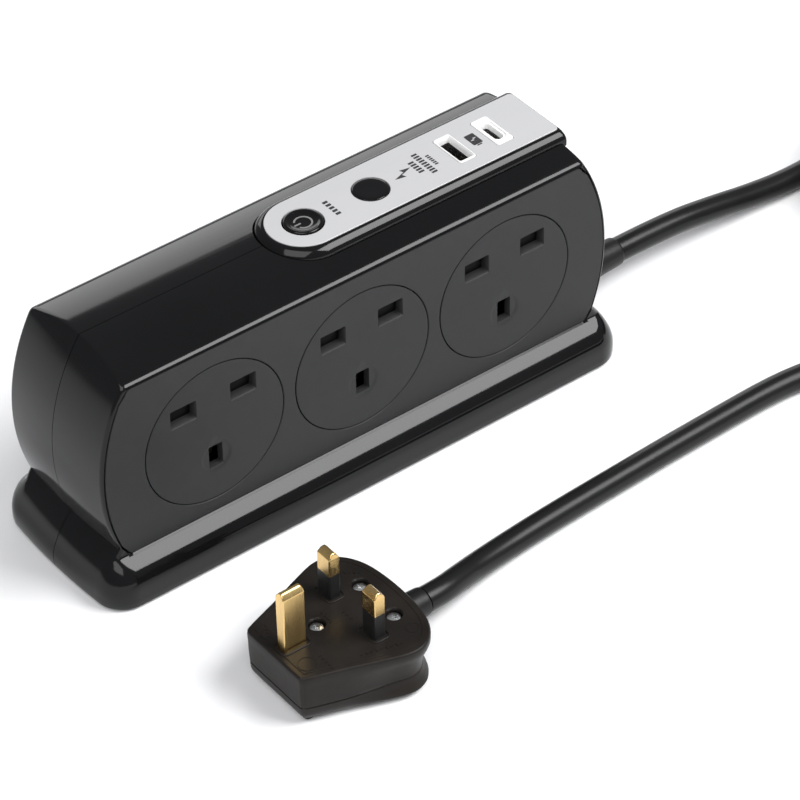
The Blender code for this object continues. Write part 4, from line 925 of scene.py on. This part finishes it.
# Pins are drawn brass bar, with their tips milled to a roof; the two side pins wear black sleeves.
pin_brass = finish("pin_brass", (0.72, 0.50, 0.21), 0.27, metallic=1.0, cloud=(130, 0.14),
                   grain=(1100, 0.000014), stretch=(1, 1, 0.12))
sleeve_nylon = finish("sleeve_nylon", (0.011, 0.011, 0.011), 0.36, cloud=(160, 0.12), grain=(1400, 0.00001))
for word, (x, y) in pin_at.items():
    size, reach = (EARTH_BLADE, 0.0227) if word == "earth" else (SIDE_BLADE, 0.0177)
    tip = PLUG_FACE + reach
    rings = []
    for z, along, across in ((0.0135, 0, 0), (tip - 0.0021, 0, 0), (tip - 0.0017, 0.00005, 0.00015),
                             (tip - 0.0005, 0.00035, 0.00105), (tip - 0.00015, 0.0006, 0.00135),
                             (tip, 0.0009, 0.00165)):
        w = size[0] - 2 * (along if word == "earth" else across)
        d = size[1] - 2 * (across if word == "earth" else along)
        corner = min(0.00045, 0.3 * min(w, d))
        rings.append([Vector((px, py, z)) for px, py in box_outline((x, y), (w, d), corner, 4)()])
    blade = stack(f"pin_{word}", rings, pin_brass)
    soften(blade, 38)
    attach(blade, "casing")
    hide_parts(f"plug_{word}_pin")
    if word == "earth":
        continue
    outline = box_outline((x, y), size, 0.0005, 4)
    sleeve_top = PLUG_FACE + 0.0094
    rows = [(0.0155, 0.00003), (sleeve_top - 0.0001, 0.00003), (sleeve_top, -0.00003), (sleeve_top, -0.0002),
            (0.0155, -0.0002)]
    sleeve = hoop(f"sleeve_{word}", [[Vector((px, py, z)) for px, py in outline(grow)] for z, grow in rows],
                  sleeve_nylon)
    soften(sleeve, 40)
    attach(sleeve, "casing")
    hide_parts(f"plug_{word}_sleeve")

# Zinc-plated screws, slightly domed, with a cross driven in the middle of each head.
zinc = finish("zinc_plate", (0.78, 0.79, 0.78), 0.30, metallic=1.0, cloud=(900, 0.20), grain=(1800, 0.00006))


def cross_cut(x, y, z, reach, depth):
    """Two crossed slots that narrow towards their floor."""
    made = []
    for long_x in (True, False):
        size = (reach, 0.00055) if long_x else (0.00055, reach)
        made.append(slab("slot", box_outline((x, y), size, 0.00012, 2),
                         [(z - depth, -0.0001), (z + 0.0006, 0.0)]))
    return made


for number, (x, y) in enumerate(screws_at, 1):
    top = PLUG_FACE - 0.0011
    profile = [(top - 0.0045, 0), (top - 0.0045, 0.00235), (top - 0.0007, 0.00235), (top - 0.0003, 0.0021),
               (top - 0.0001, 0.0015), (top, 0)]
    head = spun(f"plug_screw_head_{number}", profile, (x, y, 0), "Z", zinc, steps=48)
    cut_by(head, *cross_cut(x, y, top, 0.0028, 0.0011))
    soften(head, 35)
    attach(head, "casing")
    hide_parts(f"plug_screw_{number}")

# The lead's outer sheath is gripped in the plug by a short sleeve.
grip_profile = [(-0.0095, 0), (-0.0095, 0.0055), (-0.0002, 0.0055), (0.0006, 0.0051), (0.0030, 0.0049),
                (0.0080, 0.0047), (0.0087, 0.0045), (0.0087, 0)]
grip = spun("plug_grip", grip_profile, (PLUG_X + PLUG_END, PLUG_Y, PLUG_CORD_Z), "X", soft_pvc, steps=64)
soften(grip, 40)
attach(grip, "casing")
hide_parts("plug_cord_grip")


# ---------------------------------------------------------------- rear screws and the inside
# Four steel screws, sunk in wells, close the casing from the rear. Behind the slots lie pressed brass
# strips, and under the pad the switch and two small boards.
SCREW_TOP = FACE_Y - 0.0008
for number, (x, z) in enumerate(SCREW_PLACES, 1):
    profile = [(-0.015, 0), (-0.015, 0.00145), (SCREW_TOP - 0.0022, 0.00145), (SCREW_TOP - 0.0022, 0.0030),
               (SCREW_TOP - 0.0004, 0.0030), (SCREW_TOP - 0.0001, 0.0026), (SCREW_TOP, 0.0018),
               (SCREW_TOP, 0)]
    screw = spun(f"rear_screw_{number}", profile, (x, 0, z), "Y", zinc, steps=40)
    slots = []
    for size in ((0.0034, 0.0006), (0.0006, 0.0034)):
        slots.append(slab("slot", box_outline((x, z), size, 0.00012, 2),
                          [(SCREW_TOP - 0.0013, -0.0001), (SCREW_TOP + 0.0006, 0)], axis="Y"))
    cut_by(screw, *slots)
    soften(screw, 35)
    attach(screw, "casing")
    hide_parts(f"casing_screw_{number}")

strip_brass = finish("strip_brass", (0.74, 0.54, 0.24), 0.33, metallic=1.0, cloud=(60, 0.12),
                     grain=(700, 0.00001))
board_green = finish("board_green", (0.03, 0.16, 0.07), 0.42, cloud=(150, 0.20), grain=(600, 0.00004))
fuse_ceramic = finish("fuse_ceramic", (0.75, 0.72, 0.66), 0.40, cloud=(120, 0.05), grain=(1200, 0.00001))
inner_black = finish("inner_black", (0.030, 0.030, 0.030), 0.55, cloud=(90, 0.10), grain=(1500, 0.00003))
for metal in ("live", "neutral", "earth"):
    for word in SIDES:
        paint(f"{metal}_strip_{word}", strip_brass)
for node, material in (("surge_protection_board", board_green), ("usb_charger_board", board_green),
                       ("plug_fuse", fuse_ceramic), ("power_switch", inner_black),
                       ("cord_clamp", inner_black)):
    paint(node, material)
